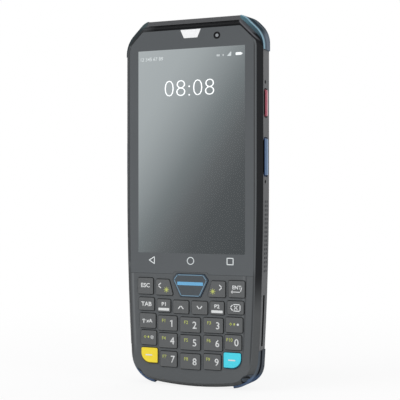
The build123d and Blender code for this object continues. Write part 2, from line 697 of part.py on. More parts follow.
# ---- chassis and boards ----
def chassis_plate():
    shape = outline(FRAME_WALL + CHASSIS_GAP)
    plate = slab(shape, CHASSIS_BACK_Y, CHASSIS_FRONT_Y)
    tabs = [(1, RED_KEY_Z, RED_KEY_LENGTH), (1, SCAN_SIDE_Z, SCAN_SIDE_LENGTH)]
    tabs += [(-1, SCAN_SIDE_Z, SCAN_SIDE_LENGTH), (-1, ROCKER_Z, ROCKER_LENGTH)]
    for way, z, length in tabs:
        half = length / 2 + SIDE_KEY_FLANGE + CHASSIS_GAP
        x = sorted((way * (SIDE_FLANGE_X - SIDE_KEY_TRAVEL - CHASSIS_GAP), way * HALF_WIDTH))
        plate -= box(x, (CHASSIS_FRONT_Y, CHASSIS_BACK_Y), (z - half, z + half))
        half = length / 2 - TAB_MARGIN
        x = sorted((way * TAB_X, way * (TAB_X + TAB_THICK)))
        plate += box(x, (CHASSIS_BACK_Y, CHASSIS_BACK_Y + TAB_DEPTH), (z - half, z + half))
    inset = 2 * SPACER_RADIUS
    for x in (BOARD_HALF - inset, inset - BOARD_HALF):
        for z in (BOARD_FOOT_Z + 2 * inset, BOARD_HEAD_Z - 2 * inset):
            plate += rod(SPACER_RADIUS, x, z, BOARD_FRONT_Y, CHASSIS_BACK_Y)
    for x, z in screw_places():
        plate -= rod(SCREW_RADIUS, x, z, CHASSIS_BACK_Y, CHASSIS_FRONT_Y)
    return plate


def main_board():
    board = box((-BOARD_HALF, BOARD_HALF), (BOARD_FRONT_Y, BOARD_BACK_Y), (BOARD_FOOT_Z, BOARD_HEAD_Z))
    for x, z in screw_places():
        board -= rod(POST_RADIUS + BATTERY_GAP, x, z, BOARD_BACK_Y, BOARD_FRONT_Y)
    middle = (BOARD_FOOT_Z + BOARD_HEAD_Z) / 2
    shield_half = SHIELD_WIDTH / 2
    for x in (-BOARD_HALF / 2, BOARD_HALF / 2):
        z = (BOARD_FOOT_Z + POST_RADIUS, middle)
        y = (BOARD_BACK_Y, BOARD_BACK_Y + SHIELD_HEIGHT)
        board += box((x - shield_half, x + shield_half), y, z)
    return board


# ---- rear housing, battery and cover ----
def screw_places():
    posts = [(HEAD_POST[0], LENGTH - HEAD_POST[1]), (BAY_POST[0], BAY_HEAD_Z + BAY_POST[1]), FOOT_POST]
    return [(way * (HALF_WIDTH - x), z) for x, z in posts for way in (1, -1)]


def bay_shape(grow):
    height = BAY_HEIGHT + 2 * grow
    return at(0, BAY_FOOT_Z + BAY_HEIGHT / 2, Rectangle(2 * (BAY_HALF + grow), height))


def cover_shape(grow=0.0):
    width = 2 * (BAY_HALF + BAY_WALL + COVER_LAP + grow)
    height = BAY_HEIGHT + 2 * (BAY_WALL + COVER_LAP + grow)
    return at(0, BAY_FOOT_Z + BAY_HEIGHT / 2, RectangleRounded(width, height, COVER_CORNER + grow))


def rear_loft(inset):
    """Tapered block of the rear housing, or its hollow."""
    wide = outline(SEAM + inset)
    slim = outline(BACK_TAPER + inset)
    back = BACK_Y - inset
    return loft([Plane.XZ.offset(-BAND_BACK_Y) * wide, Plane.XZ.offset(-back) * slim], ruled=True)


BATTERY_FRONT_Y = BACK_Y - REAR_WALL - BATTERY_GAP - BATTERY_THICK
BAY_FLOOR_Y = BATTERY_FRONT_Y - BAY_WALL


def rear_housing():
    shell = rear_loft(0) - rear_loft(REAR_WALL)
    inner_back = BACK_Y - REAR_WALL
    shell += slab(bay_shape(BAY_WALL), inner_back, BAY_FLOOR_Y)
    shell += slab(cover_shape(COVER_LAP), inner_back, inner_back - REAR_WALL)
    shell -= slab(bay_shape(0), inner_back, BATTERY_FRONT_Y)
    shell -= slab(cover_shape(COVER_GAP), BACK_Y, inner_back)
    for x, z in screw_places():
        shell += rod(POST_RADIUS, x, z, inner_back, CHASSIS_BACK_Y)
    for x, z in screw_places():
        shell -= rod(SCREW_RADIUS + SCREW_GAP, x, z, BACK_Y, CHASSIS_BACK_Y)
        head_front = BACK_Y - SCREW_SINK - SCREW_HEAD_HEIGHT
        shell -= rod(SCREW_HEAD_RADIUS + SCREW_GAP, x, z, BACK_Y, head_front)
    shell -= rod(REAR_CAMERA_RADIUS + LENS_GAP, 0, REAR_CAMERA_Z, BACK_Y, inner_back)
    shell -= rod(FLASH_RADIUS + LENS_GAP, FLASH_X, REAR_CAMERA_Z, BACK_Y, inner_back)
    for count in range(SLOT_COUNT):
        z = SPEAKER_Z + (count - (SLOT_COUNT - 1) / 2) * SLOT_PITCH
        shell -= slab(at(0, z, SlotOverall(SLOT_LENGTH, SLOT_WIDTH)), BACK_Y, inner_back)
    return shell - contact_carrier()


def battery_pack():
    shape = bay_shape(-BATTERY_GAP)
    shape = fillet(shape.vertices(), COVER_CORNER)
    return slab(shape, BATTERY_FRONT_Y + BATTERY_THICK, BATTERY_FRONT_Y)


def battery_cover():
    cover = slab(cover_shape(), BACK_Y, BACK_Y - REAR_WALL)
    for count in range(GRIP_COUNT):
        z = BAY_FOOT_Z + (count + 1) * GRIP_PITCH
        cover -= slab(at(0, z, SlotOverall(GRIP_LENGTH, GRIP_WIDTH)), BACK_Y, BACK_Y - GRIP_DEPTH)
    return cover


def contact_depth(edge):
    """Front and back of the contact carrier, or of the contacts inside its edge."""
    front = BATTERY_FRONT_Y + CONTACT_RAISE
    return front + edge, front + CONTACT_HEIGHT - edge


def contact_carrier():
    """Block that holds the contacts, through the head wall of the bay."""
    half = CONTACT_COUNT * CONTACT_PITCH / 2
    return box((-half, half), contact_depth(0), (BAY_HEAD_Z, BAY_HEAD_Z + BAY_WALL))


def battery_contacts():
    carrier = contact_carrier()
    y = contact_depth(CONTACT_EDGE)
    z = (BAY_HEAD_Z + BAY_WALL, BOARD_FOOT_Z - BATTERY_GAP)
    for count in range(CONTACT_COUNT):
        x = (count - (CONTACT_COUNT - 1) / 2) * CONTACT_PITCH
        half = CONTACT_WIDTH / 2
        carrier += box((x - half, x + half), y, z)
    return carrier


def housing_screws():
    screws = []
    for x, z in screw_places():
        head_back = BACK_Y - SCREW_SINK
        head_front = head_back - SCREW_HEAD_HEIGHT
        screw = rod(SCREW_HEAD_RADIUS, x, z, head_back, head_front)
        screw += rod(SCREW_RADIUS, x, z, head_front, CHASSIS_FRONT_Y)
        socket = slab(at(x, z, RegularPolygon(SOCKET_RADIUS, 6)), head_back, head_back - SOCKET_DEPTH)
        screws.append(screw - socket)
    return Compound(children=screws)


# ---- head, back and foot ----
def scan_window():
    half = WINDOW_WIDTH / 2
    y = (WINDOW_Y - WINDOW_DEPTH / 2, WINDOW_Y + WINDOW_DEPTH / 2)
    top = LENGTH - WINDOW_SINK
    return box((-half, half), y, (top - WINDOW_THICK, top))


def scan_engine():
    half = ENGINE_WIDTH / 2
    top = LENGTH - FRAME_WALL - ENGINE_CLEAR
    y = (CHASSIS_BACK_Y, CHASSIS_BACK_Y + ENGINE_DEPTH)
    return box((-half, half), y, (top - ENGINE_HEIGHT, top))


def rear_camera():
    half = REAR_CAMERA_BASE / 2
    base_back = BOARD_BACK_Y + REAR_CAMERA_BASE_THICK
    z = (REAR_CAMERA_Z - half, REAR_CAMERA_Z + half)
    base = box((-half, half), (BOARD_BACK_Y, base_back), z)
    return base + rod(REAR_CAMERA_RADIUS, 0, REAR_CAMERA_Z, BACK_Y - LENS_SINK, base_back)


def flash_lens():
    inner_back = BACK_Y - REAR_WALL
    lens = rod(FLASH_RADIUS, FLASH_X, REAR_CAMERA_Z, BACK_Y - LENS_SINK, inner_back)
    return lens + rod(FLASH_STEM_RADIUS, FLASH_X, REAR_CAMERA_Z, inner_back, BOARD_BACK_Y)


def loudspeaker():
    inner_back = BACK_Y - REAR_WALL
    shape = at(0, SPEAKER_Z, RectangleRounded(SPEAKER_WIDTH, SPEAKER_HEIGHT, COVER_CORNER))
    return slab(shape, inner_back, inner_back - SPEAKER_THICK)


def usb_socket():
    shell = usb_solid(0, USB_LENGTH, USB_SINK)
    shell -= usb_solid(-USB_SHELL, USB_LENGTH - USB_SHELL, USB_SINK)
    half = USB_WIDTH / 2 - USB_THICK / 2
    middle = CHASSIS_BACK_Y + USB_THICK / 2
    y = (middle - USB_TONGUE / 2, middle + USB_TONGUE / 2)
    return shell + box((-half, half), y, (USB_SINK + USB_TONGUE, USB_SINK + USB_LENGTH - USB_SHELL))


# ---- all pieces ----
def pieces():
    keys = face_keys()
    bumpers = {}
    for name, solid in (("top", upper_bumper()), ("bottom", lower_bumper())):
        bumpers[f"bumper_{name}_right"] = solid
        bumpers[f"bumper_{name}_left"] = mirrored(solid)
    side_scan = sprung_key(SCAN_SIDE_Z, SCAN_SIDE_LENGTH, SCAN_SIDE_HEIGHT)
    rocker = side_key(ROCKER_Z, ROCKER_LENGTH, ROCKER_HEIGHT, ROCKER_FLANGE_LENGTH)
    made = {
        "front_housing": front_housing(keys),
        "display_glass": display_glass(),
        "display_panel": display_panel(),
        "earpiece_cover": earpiece_cover(),
        "receiver": receiver(),
        "front_camera": front_camera(),
        "keypad_mat": keypad_mat(),
        "dome_switches": dome_switches(keys),
        "keypad_board": keypad_board(),
        "mid_frame": mid_frame(),
        "side_key_red": sprung_key(RED_KEY_Z, RED_KEY_LENGTH, RED_KEY_HEIGHT),
        "side_scan_right": side_scan,
        "side_scan_left": mirrored(side_scan),
        "volume_rocker": mirrored(rocker),
        "side_switches": side_switches(),
        "chassis_plate": chassis_plate(),
        "main_board": main_board(),
        "rear_housing": rear_housing(),
        "battery_pack": battery_pack(),
        "battery_cover": battery_cover(),
        "battery_contacts": battery_contacts(),
        "housing_screws": housing_screws(),
        "scan_window": scan_window(),
        "scan_engine": scan_engine(),
        "rear_camera": rear_camera(),
        "flash_lens": flash_lens(),
        "loudspeaker": loudspeaker(),
        "usb_socket": usb_socket(),
    }
    made.update(bumpers)
    for name, shape in keys.items():
        made[name] = key_cap(shape)
    return made


os.makedirs("parts", exist_ok=True)
for node, solid in pieces().items():
    export_step(solid, f"parts/{node}.step")
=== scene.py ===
# %% [markdown]
# # A handheld data terminal, from plain solids to a finished product
# The shapes of the housing, the glass, the keys and the bumpers come from the CAD model, which
# is loaded first and never changed. This lesson adds what CAD leaves out: finishes, the lit
# display, the printing on the keys, a lens ring and the dotted grip.

# %% Load the fixed frame
import bpy
import json
import math
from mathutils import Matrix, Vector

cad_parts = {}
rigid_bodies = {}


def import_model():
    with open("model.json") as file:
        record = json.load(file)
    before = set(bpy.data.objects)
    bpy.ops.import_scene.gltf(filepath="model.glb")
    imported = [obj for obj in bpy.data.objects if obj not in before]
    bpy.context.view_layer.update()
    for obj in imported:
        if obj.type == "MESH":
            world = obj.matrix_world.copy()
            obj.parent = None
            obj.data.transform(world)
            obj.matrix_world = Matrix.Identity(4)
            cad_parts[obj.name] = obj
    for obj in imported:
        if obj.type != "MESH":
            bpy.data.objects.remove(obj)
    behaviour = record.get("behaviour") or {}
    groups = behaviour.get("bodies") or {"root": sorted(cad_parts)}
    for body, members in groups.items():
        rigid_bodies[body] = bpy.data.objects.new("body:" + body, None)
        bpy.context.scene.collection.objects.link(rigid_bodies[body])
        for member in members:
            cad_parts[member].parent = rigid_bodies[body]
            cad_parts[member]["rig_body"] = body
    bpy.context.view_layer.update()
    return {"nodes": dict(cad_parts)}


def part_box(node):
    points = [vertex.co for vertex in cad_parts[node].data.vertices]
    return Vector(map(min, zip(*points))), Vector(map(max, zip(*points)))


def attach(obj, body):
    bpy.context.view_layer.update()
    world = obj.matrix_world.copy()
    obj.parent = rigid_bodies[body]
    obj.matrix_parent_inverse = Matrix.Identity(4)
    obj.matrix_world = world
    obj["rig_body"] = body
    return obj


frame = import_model()
nodes = frame["nodes"]

# %% [markdown]
# ## The camera
# A long lens stands half a metre away, 22 degrees to the right of the display, and shows the
# shape with little perspective. A wide lens close by would show more of the sides, but it would
# bend the shape. The camera is level, so upright edges stay upright.

# %% Camera
CAMERA_PLACE = (0.195515, -0.477303, 0.100871)
CAMERA_TURN = 22.1             # degrees
SENSOR, LENS = 36, 84.785      # millimetres

bpy.ops.object.select_all(action="DESELECT")
bpy.ops.object.camera_add(location=CAMERA_PLACE)
camera = bpy.context.object
camera.rotation_euler = (math.radians(90), 0, math.radians(CAMERA_TURN))
camera.data.sensor_width = SENSOR
camera.data.lens = LENS
bpy.context.scene.camera = camera
print("lens", camera.data.lens, "mm")

# %% [markdown]
# ## Small tools
# Every piece is drawn in millimetres. `only` leaves one object selected, because an operator
# acts on all that is selected. `seat` moves a finished piece to its place and writes the place
# into its mesh, so that the object itself stays at the origin.

# %% Selecting and seating
MM = 0.001
FRONT = (math.radians(90), 0, 0)


def only(piece):
    bpy.ops.object.select_all(action="DESELECT")
    piece.select_set(True)
    bpy.context.view_layer.objects.active = piece


def seat(piece, x, y, z, turn):
    only(piece)
    piece.rotation_euler = turn
    piece.location = (x * MM, y * MM, z * MM)
    bpy.ops.object.transform_apply(location=True, rotation=True, scale=True)
    return piece


def joined(pieces, name):
    only(pieces[0])
    for piece in pieces:
        piece.select_set(True)
    if len(pieces) > 1:
        bpy.ops.object.join()
    bpy.context.object.name = name
    bpy.context.object.data.name = name
    return bpy.context.object


def middle(node):
    low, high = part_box(node)
    return (low + high) / 2 / MM


print("middle of key 5:", [round(v, 2) for v in middle("key_5")])

# %% [markdown]
# ## Colours
# Colours are written as the 0 to 255 values that a screen shows, and are turned into the linear
# light that the shader wants. They could be picked by eye in a colour field, but numbers can be
# compared and changed all together.

# %% Colours
def srgb(red, green, blue):
    def linear(value):
        value = value / 255
        return value / 12.92 if value < 0.04045 else ((value + 0.055) / 1.055) ** 2.4
    return linear(red), linear(green), linear(blue), 1.0


def shade(colour, amount):
    return tuple(channel * amount for channel in colour[:3]) + (1.0,)


# Painted shade for hollows and gaps that light hardly reaches.
HOLLOW_SHADE = srgb(14, 15, 16)
print("the dark of a hollow in linear light:", [round(v, 4) for v in HOLLOW_SHADE])

# %% [markdown]
# ## Shader sums
# A pattern is a sum over the place on the surface. Wiring Math nodes by hand soon gets long, so
# `Wire` wraps a shader socket and adds the nodes when ordinary signs are used on it. A `ramp`
# is a soft step, and most patterns below are steps multiplied with each other.

# %% Wire
class Wire:
    """A shader socket that sums can be done with."""

    def __init__(self, finish, socket):
        self.finish, self.socket = finish, socket

    def sum(self, operation, *values):
        return self.finish.node("Math", {"operation": operation}, dict(enumerate(values)))

    def __add__(self, other):
        return self.sum("ADD", self, other)

    def __sub__(self, other):
        return self.sum("SUBTRACT", self, other)

    def __rsub__(self, other):
        return self.sum("SUBTRACT", other, self)

    def __mul__(self, other):
        return self.sum("MULTIPLY", self, other)

    def size(self):
        return self.sum("ABSOLUTE", self)

    def root(self):
        return self.sum("SQRT", self)

    def at_least(self, other):
        return self.sum("MAXIMUM", self, other)

    def at_most(self, other):
        return self.sum("MINIMUM", self, other)

    def ramp(self, low, high):
        """0 below low, 1 above high, and a soft step between."""
        return self.finish.node("MapRange", {"interpolation_type": "SMOOTHSTEP"},
                                {"Value": self, "From Min": low, "From Max": high})


def squares(first, second):
    """The squared distance, from its two parts."""
    return first * first + second * second


print("3 across and 4 up is", math.sqrt(squares(3, 4)), "away")

# %% [markdown]
# ## One class for all materials
# `Finish` is one material that knows how to add any node. A value that is the same all over goes
# straight on the shader's socket, and what varies is fed to it as a wire. Patterns read Object
# coordinates in millimetres, so they stay where they are however the terminal is seen.

# %% Finish
class Finish:
    """One material. Constants go straight on the shader's sockets."""

    def __init__(self, name, **constants):
        self.material = bpy.data.materials.new(name)
        self.material.use_nodes = True
        self.tree = self.material.node_tree
        self.shader = self.tree.nodes["Principled BSDF"]
        for socket, value in constants.items():
            self.shader.inputs[socket.replace("_", " ")].default_value = value

    def plug(self, value, socket):
        if isinstance(value, Wire):
            self.tree.links.new(value.socket, socket)
        else:
            socket.default_value = value

    def node(self, kind, settings=None, values=None, out=0):
        node = self.tree.nodes.new("ShaderNode" + kind)
        for name, value in (settings or {}).items():
            if name == "stops":
                ramp = node.color_ramp.elements
                while len(ramp) < len(value):
                    ramp.new(0.5)
                # All places come before the colours, because a stop that moves can change rank.
                for stop, (place, colour) in zip(ramp, value):
                    stop.position = place
                for stop, (place, colour) in zip(ramp, value):
                    stop.color = colour
            else:
                setattr(node, name, value)
        for socket, value in (values or {}).items():
            self.plug(value, node.inputs[socket])
        return Wire(self, node.outputs[out])

    def feed(self, socket, value):
        self.plug(value, self.shader.inputs[socket])

    def where(self):
        return self.node("TexCoord", out="Object")

    def places(self):
        """Object coordinates in millimetres: x, y, z."""
        where = self.where()
        return [self.node("SeparateXYZ", None, {0: where}, axis) * 1000 for axis in "XYZ"]

    def facing(self):
        """The surface's own direction: x, y, z."""
        normal = self.node("TexCoord", out="Normal")
        return [self.node("SeparateXYZ", None, {0: normal}, axis) for axis in "XYZ"]

    def span(self, value, low, high, soft=0.05):
        """1 between two values, with soft ends."""
        return value.ramp(low - soft, low + soft) * (1 - value.ramp(high - soft, high + soft))

    def noise(self, size, detail=2.0):
        """Soft random pattern with spots of about that many millimetres."""
        return self.node("TexNoise", None,
                         {"Vector": self.where(), "Scale": 1000 / size, "Detail": detail})

    def mix(self, factor, first, second):
        return self.node("Mix", {"data_type": "RGBA"}, {0: factor, 6: first, 7: second}, 2)

    def relief(self, pattern, height):
        """Raise the surface by the pattern, by that many millimetres."""
        self.feed("Normal", self.node("Bump", None, {"Height": pattern, "Distance": height * MM,
                                                     "Strength": 1.0}))


print("a finish knows:", ", ".join(name for name in vars(Finish) if not name.startswith("_")))

# %% [markdown]
# ## Moulded plastic
# Most of the shell is one kind of plastic, moulded in a spark-eroded tool that leaves a fine
# grain. Two noises do it: a fine one for the grain, which also breaks up the gloss, and a broad
# faint one, because no moulding has quite the same colour all over. An image would do as well,
# but noise has no seams and stays sharp at any distance.

# %% Plastic maker
CLOUD = 14                     # millimetres over which the colour drifts
DRIFT = 0.06                   # share by which the colour and the roughness drift


def plastic(name, colour, roughness=0.5, grain=0.45, height=0.012, gloss=0.25):
    finish = Finish(name, Specular_IOR_Level=gloss)
    cloud = finish.noise(CLOUD, 3)
    fine = finish.noise(grain, 3)
    finish.base = finish.mix(cloud, shade(colour, 1 - DRIFT), shade(colour, 1 + DRIFT))
    finish.feed("Base Color", finish.base)
    finish.feed("Roughness", fine * (2 * DRIFT) + (roughness - DRIFT))
    finish.relief(fine, height)
    return finish


internal = plastic("inner_plastic", srgb(52, 54, 57), 0.55)
print("plastics:", internal.material.name)

# %% [markdown]
# ## Painting and dressing
# `overlay` paints further colours over the base, each where its mask is 1, and the last one wins.
# That is how painted shadows in narrow gaps and painted shade and highlights on edges are added
# without a second material. `dress` puts one finish on all the named solids or pieces.

# %% Painting and dressing
def overlay(finish, masks):
    """Paint colours over the base, each where its mask is 1."""
    for mask, colour in masks:
        finish.base = finish.mix(mask, finish.base, colour)
    finish.feed("Base Color", finish.base)
    return finish


def dress(names, finish, slot=None):
    for name in names:
        piece = nodes[name] if isinstance(name, str) else name
        if not piece.material_slots:
            piece.data.materials.append(finish.material)
        for place in piece.material_slots:
            place.material = finish.material
        slot and not isinstance(name, str)


dress(["receiver", "loudspeaker", "scan_engine"], internal)
print("dressed in", internal.material.name + ": receiver, loudspeaker, scan engine")

# %% [markdown]
# ## The side band
# The band is the lighter rim between the front and the back. Light hardly reaches the bottom of
# its long groove and of its two small holes, nor the walls round the side keys. Lamps alone make
# such narrow gaps too pale, so those places are painted dark.

# %% Side band
HOLE_Y, HOLE_HEIGHTS = -2.1, (163.4, 110.6)
HOLE_RIM = (0.9, 1.3)          # squared distance from the middle
GROOVE_ACROSS, GROOVE_ALONG = (-2.35, 0.15), (23.2, 50.4)
SIDE_KEY_Y = -1.5
OPENING_WALLS = (36, 39.8)     # from the inside to just under the surface of the band
# Each opening: the key in it, its reach to either side and the painted shade on its walls.
OPENINGS = (("side_key_red", 2.9, srgb(40, 42, 44)), ("side_scan_right", 3.7, srgb(26, 44, 78)))

band = plastic("band_plastic", srgb(92, 93, 95), 0.5, gloss=0.12)
x, y, z = band.places()
masks = [(band.span(y, *GROOVE_ACROSS) * band.span(z, *GROOVE_ALONG), HOLLOW_SHADE)]
for height in HOLE_HEIGHTS:
    masks.append((1 - squares(y - HOLE_Y, z - height).ramp(*HOLE_RIM), HOLLOW_SHADE))
for key, reach, shadow in OPENINGS:
    low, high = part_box(key)
    opening = (band.span(z, low.z / MM - 0.1, high.z / MM + 0.1)
               * band.span(y, SIDE_KEY_Y - reach, SIDE_KEY_Y + reach))
    masks.append((opening * band.span(x, *OPENING_WALLS, 0.04), shadow))
overlay(band, masks)
dress(["mid_frame"], band)
print("dark places on the band:", len(masks))

# %% [markdown]
# ## The front housing
# The keypad face is mid grey and a sloped edge runs round it. The slope is found by the
# direction in which it faces, and places along the sides by `inwards`, the distance from the
# outside of the band. Below the waist the band draws in as a very flat arc, so that distance
# needs the arc's height, which is the drop squared over twice the radius. Faces could be picked
# by hand instead, but masks have soft edges and still fit when the model changes a little.

# %% Front housing
WAIST, HALF_BAND, ARC = 110.0, 39.9, 1637.0

housing = plastic("front_housing_plastic", srgb(98, 101, 103), 0.55, gloss=0.06)
x, y, z = housing.places()
_, front, up = housing.facing()
front = front * -1
slope = 1 - front.ramp(0.86, 0.97)
drop = WAIST - z
inwards = HALF_BAND - x.size() - drop * drop * (1 / (2 * ARC))
# The slope is painted darker than the face. Its right part above the foot is painted paler:
# painted light, where the main lamp from the left leaves it too dark.
overlay(housing, [
    (slope, srgb(80, 82, 83)),
    (slope * x.ramp(24, 28) * z.ramp(8, 12), srgb(90, 92, 93)),
])
dress(["front_housing"], housing)
print("front housing dressed")

# %% [markdown]
# Beside the keypad a fine ridge runs up each side of the face, and on the right two narrow
# grooves run along it. They could be modelled, but are too low to show in the outline, so they
# are painted as light and shade: a painted highlight for a ridge, painted shade for a groove.
# They fade out where the foot bends round. Along the left edge, where the face slopes away, a
# strip of painted shade runs as well.

# %% Lines beside the keypad
# All of these are distances inwards from the side.
LEFT_EDGE, LEFT_RIDGE = (3.3, 3.7), (4.2, 5.2)
RIGHT_RIDGE, INNER_GROOVE, OUTER_GROOVE = (8.2, 9.2), (7.1, 7.7), (2.8, 3.7)

keypad = 1 - z.ramp(60, 66)
left_side, right_side = (1 - x.ramp(-10, 10)) * keypad, x.ramp(0, 10) * keypad
above_foot = z.ramp(16, 24)
lines = [
    ((1 - slope) * left_side * (1 - inwards.ramp(*LEFT_EDGE)) * z.ramp(12, 20), srgb(82, 84, 85)),
    (left_side * housing.span(inwards, *LEFT_RIDGE, 0.2) * above_foot, srgb(114, 117, 119)),
    (right_side * housing.span(inwards, *RIGHT_RIDGE, 0.2) * above_foot, srgb(108, 111, 113)),
    (right_side * housing.span(inwards, *INNER_GROOVE, 0.2) * above_foot, srgb(80, 82, 84)),
    (right_side * housing.span(inwards, *OUTER_GROOVE, 0.25) * z.ramp(10, 20), srgb(74, 76, 78)),
]
overlay(housing, lines)
print("lines beside the keypad:", len(lines))

# %% [markdown]
# Beside the glass the slope is finished much darker than at the foot. Round the head it is
# painted nearly black as painted shade: where the slope faces up, on the lip over the glass and
# along both cuts. The top corners are cut at 45 degrees, so x + z is the same all along a cut,
# and a step in that sum finds it. The light comes from the left, so the left cut and the left end
# of the lip over the glass are painted paler, as painted light. On the right cut a pale ridge
# between glass and bumper is a painted highlight, and from it outwards the cut is painted paler.

# %% Head and cut corners
# Painted shade round the head; the paler colours below it are painted light.
HEAD_SHADE = srgb(20, 21, 23)
CUT = (221.3, 221.7)           # x + z where a cut begins
RIDGE_FOOT, RIDGE = (222.4, 222.8), (222.6, 223.5)

head_lip, shoulders = z.ramp(192.6, 193.0), z.ramp(175, 180)
head_light_and_shade = [
    (slope * z.ramp(38, 62), srgb(36, 37, 39)),
    (slope * up.ramp(0.1, 0.4) * z.ramp(100, 120), HEAD_SHADE),
    (head_lip, HEAD_SHADE),
    ((x.size() + z).ramp(*CUT) * shoulders, srgb(26, 27, 29)),
    ((x * -1).ramp(20, 32) * head_lip, srgb(74, 76, 78)),
    ((z - x).ramp(*CUT) * shoulders, srgb(52, 54, 56)),
    ((x + z).ramp(*RIDGE_FOOT) * z.ramp(188, 190), srgb(80, 82, 86)),
    (housing.span(x + z, *RIDGE, 0.2) * z.ramp(184, 187), srgb(100, 100, 104)),
]
overlay(housing, head_light_and_shade)
print("colours on the head and its cut corners:", len(head_light_and_shade))

# %% [markdown]
# The last masks paint shade on what lies deep: the walls of the openings, which face neither
# forwards nor backwards, the lip left of the glass, the face just above each scoop, and the round
# finger scoops at the lower corners. A scoop is what lies within about 5 mm of its middle and
# doesn't face forwards. Its floor is painted a blue grey. Its upper wall looks down, away from
# all the lamps, and is painted darkest, as painted shade.

# %% Openings and scoops
SCOOP_X, SCOOP_Z = 33.3, 3.4
SCOOP_RIM = (25.6, 26.2)       # squared distance from the middle

walls = 1 - front.size().ramp(0.1, 0.3)
off = squares(x.size() - SCOOP_X, z - SCOOP_Z)
scoop = (1 - off.ramp(*SCOOP_RIM)) * (1 - front.ramp(0.9, 0.97))
overlay(housing, [
    (walls, HOLLOW_SHADE),
    ((1 - slope) * (x * -1).ramp(35.9, 36.1) * z.ramp(66, 68), srgb(80, 82, 84)),
    ((1 - off.ramp(29, 33)) * z.ramp(5.5, 6.5), srgb(58, 62, 66)),
    (scoop, srgb(76, 83, 90)),
    (scoop * (up * -1).ramp(0.55, 0.75), HOLLOW_SHADE),
])
print("scoops are", round(math.sqrt(SCOOP_RIM[0]), 2), "mm from middle to rim")

# %% [markdown]
# ## The glass
# The cover glass is clear over the lit area and printed grey round it. One material does both:
# outside a soft-edged rectangle its alpha is 1, inside it is low, so the picture shows through
# and the glass still catches a little light. Two pieces of glass would need a seam that the real
# one doesn't have. The printed grey is a little uneven and darkens towards the head.

# %% Glass
LIT_HALF, LIT_FOOT, LIT_HEAD = 31.05, 72.1, 182.5
CLEARNESS = 0.9

glass = Finish("cover_glass", Roughness=0.06, IOR=1.5, Specular_IOR_Level=0.35)
x, y, z = glass.places()
lit = glass.span(x, -LIT_HALF, LIT_HALF) * glass.span(z, LIT_FOOT, LIT_HEAD)
patchy = glass.noise(40, 1) * 0.3 + (z * 0.004 - 0.2)
print_grey = glass.mix(patchy, srgb(92, 96, 99), srgb(78, 82, 85))
print_grey = glass.mix(x.ramp(35.8, 36.0), print_grey, srgb(58, 59, 61))
glass.feed("Base Color", glass.mix(lit, print_grey, srgb(20, 22, 24)))
glass.feed("Alpha", 1 - lit * CLEARNESS)
glass.relief(glass.noise(30, 1), 0.002)
dress(["display_glass"], glass)
dress(["display_panel"], plastic("panel_back", srgb(34, 36, 38), 0.4))
print("clear window:", 2 * LIT_HALF, "by", round(LIT_HEAD - LIT_FOOT, 1), "mm")

# %% [markdown]
# ## Thin plates and bars
# The lit sheet, the symbols and the bars on the keys are all flat shapes with rounded corners.
# Each starts as a plane, gets its corners rounded by a vertex bevel, and is extruded to its
# thickness. A bar between two points is such a plate, turned into line. Curves with a bevel would
# draw lines as well, but plates have far fewer faces.

# %% Plate and bar
INK = 0.02                     # thickness of print, in millimetres


def plate(width, height, corner, x=0.0, y=0.0, turn=0.0):
    bpy.ops.object.select_all(action="DESELECT")
    bpy.ops.mesh.primitive_plane_add(size=1, location=(x * MM, y * MM, 0), rotation=(0, 0, turn))
    piece = bpy.context.object
    piece.scale = (width * MM, height * MM, 1)
    bpy.ops.object.transform_apply(location=True, rotation=True, scale=True)
    bpy.ops.object.mode_set(mode="EDIT")
    bpy.ops.mesh.select_all(action="SELECT")
    bpy.ops.mesh.bevel(offset=corner * MM, segments=3, affect="VERTICES")
    bpy.ops.mesh.select_all(action="SELECT")
    bpy.ops.mesh.extrude_region_move(TRANSFORM_OT_translate={"value": (0, 0, INK * MM)})
    bpy.ops.mesh.select_all(action="SELECT")
    bpy.ops.mesh.normals_make_consistent(inside=False)
    bpy.ops.object.mode_set(mode="OBJECT")
    return piece


def bar(start, end, width):
    run, rise = end[0] - start[0], end[1] - start[1]
    return plate(math.hypot(run, rise) + width, width, width * 0.3, x=(start[0] + end[0]) / 2,
                 y=(start[1] + end[1]) / 2, turn=math.atan2(rise, run))


def strokes(points, width, closed=False):
    """Bars from point to point."""
    ends = points[1:] + points[:1] if closed else points[1:]
    return [bar(start, end, width) for start, end in zip(points, ends)]


SHEET_Y = -8.33                # just in front of the display panel
SHEET_OVER = (2.4, 0.8)        # how much wider and taller than the window the sheet is
picture = plate(2 * LIT_HALF + SHEET_OVER[0], LIT_HEAD - LIT_FOOT + SHEET_OVER[1], 0.3)
picture = joined([picture], "display_picture")
seat(picture, 0, SHEET_Y, (LIT_HEAD + LIT_FOOT) / 2, FRONT)
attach(picture, "terminal")
print("lit sheet:", [round(v / MM, 1) for v in picture.dimensions])

# %% [markdown]
# ## The wallpaper
# The display shows a plain grey that runs from pale at the top left to dark at the bottom right.
# The run is partly a painted reflection, standing for the gloss of the lamps on the glass.
# Its brightness is worked out from the place on the sheet, and a ramp of greys turns it into
# colour, cooler where it is bright. An image would need a file beside the scene. A lit display
# glows by itself, so its base colour is black.

# %% Wallpaper
FALL_ACROSS, FALL_DOWN = 0.472, 0.556
GREYS = [(0.0, 184), (0.217, 177), (0.3, 169), (0.414, 151), (0.533, 125), (0.656, 103),
         (0.778, 88), (1.0, 80)]
BRIGHT = 120                   # above this grey the colour is cooler


def cool_grey(grey):
    if grey > BRIGHT:
        return srgb(grey - 5, grey + 2, grey + 4)
    return srgb(grey - 3, grey + 1, grey + 3)


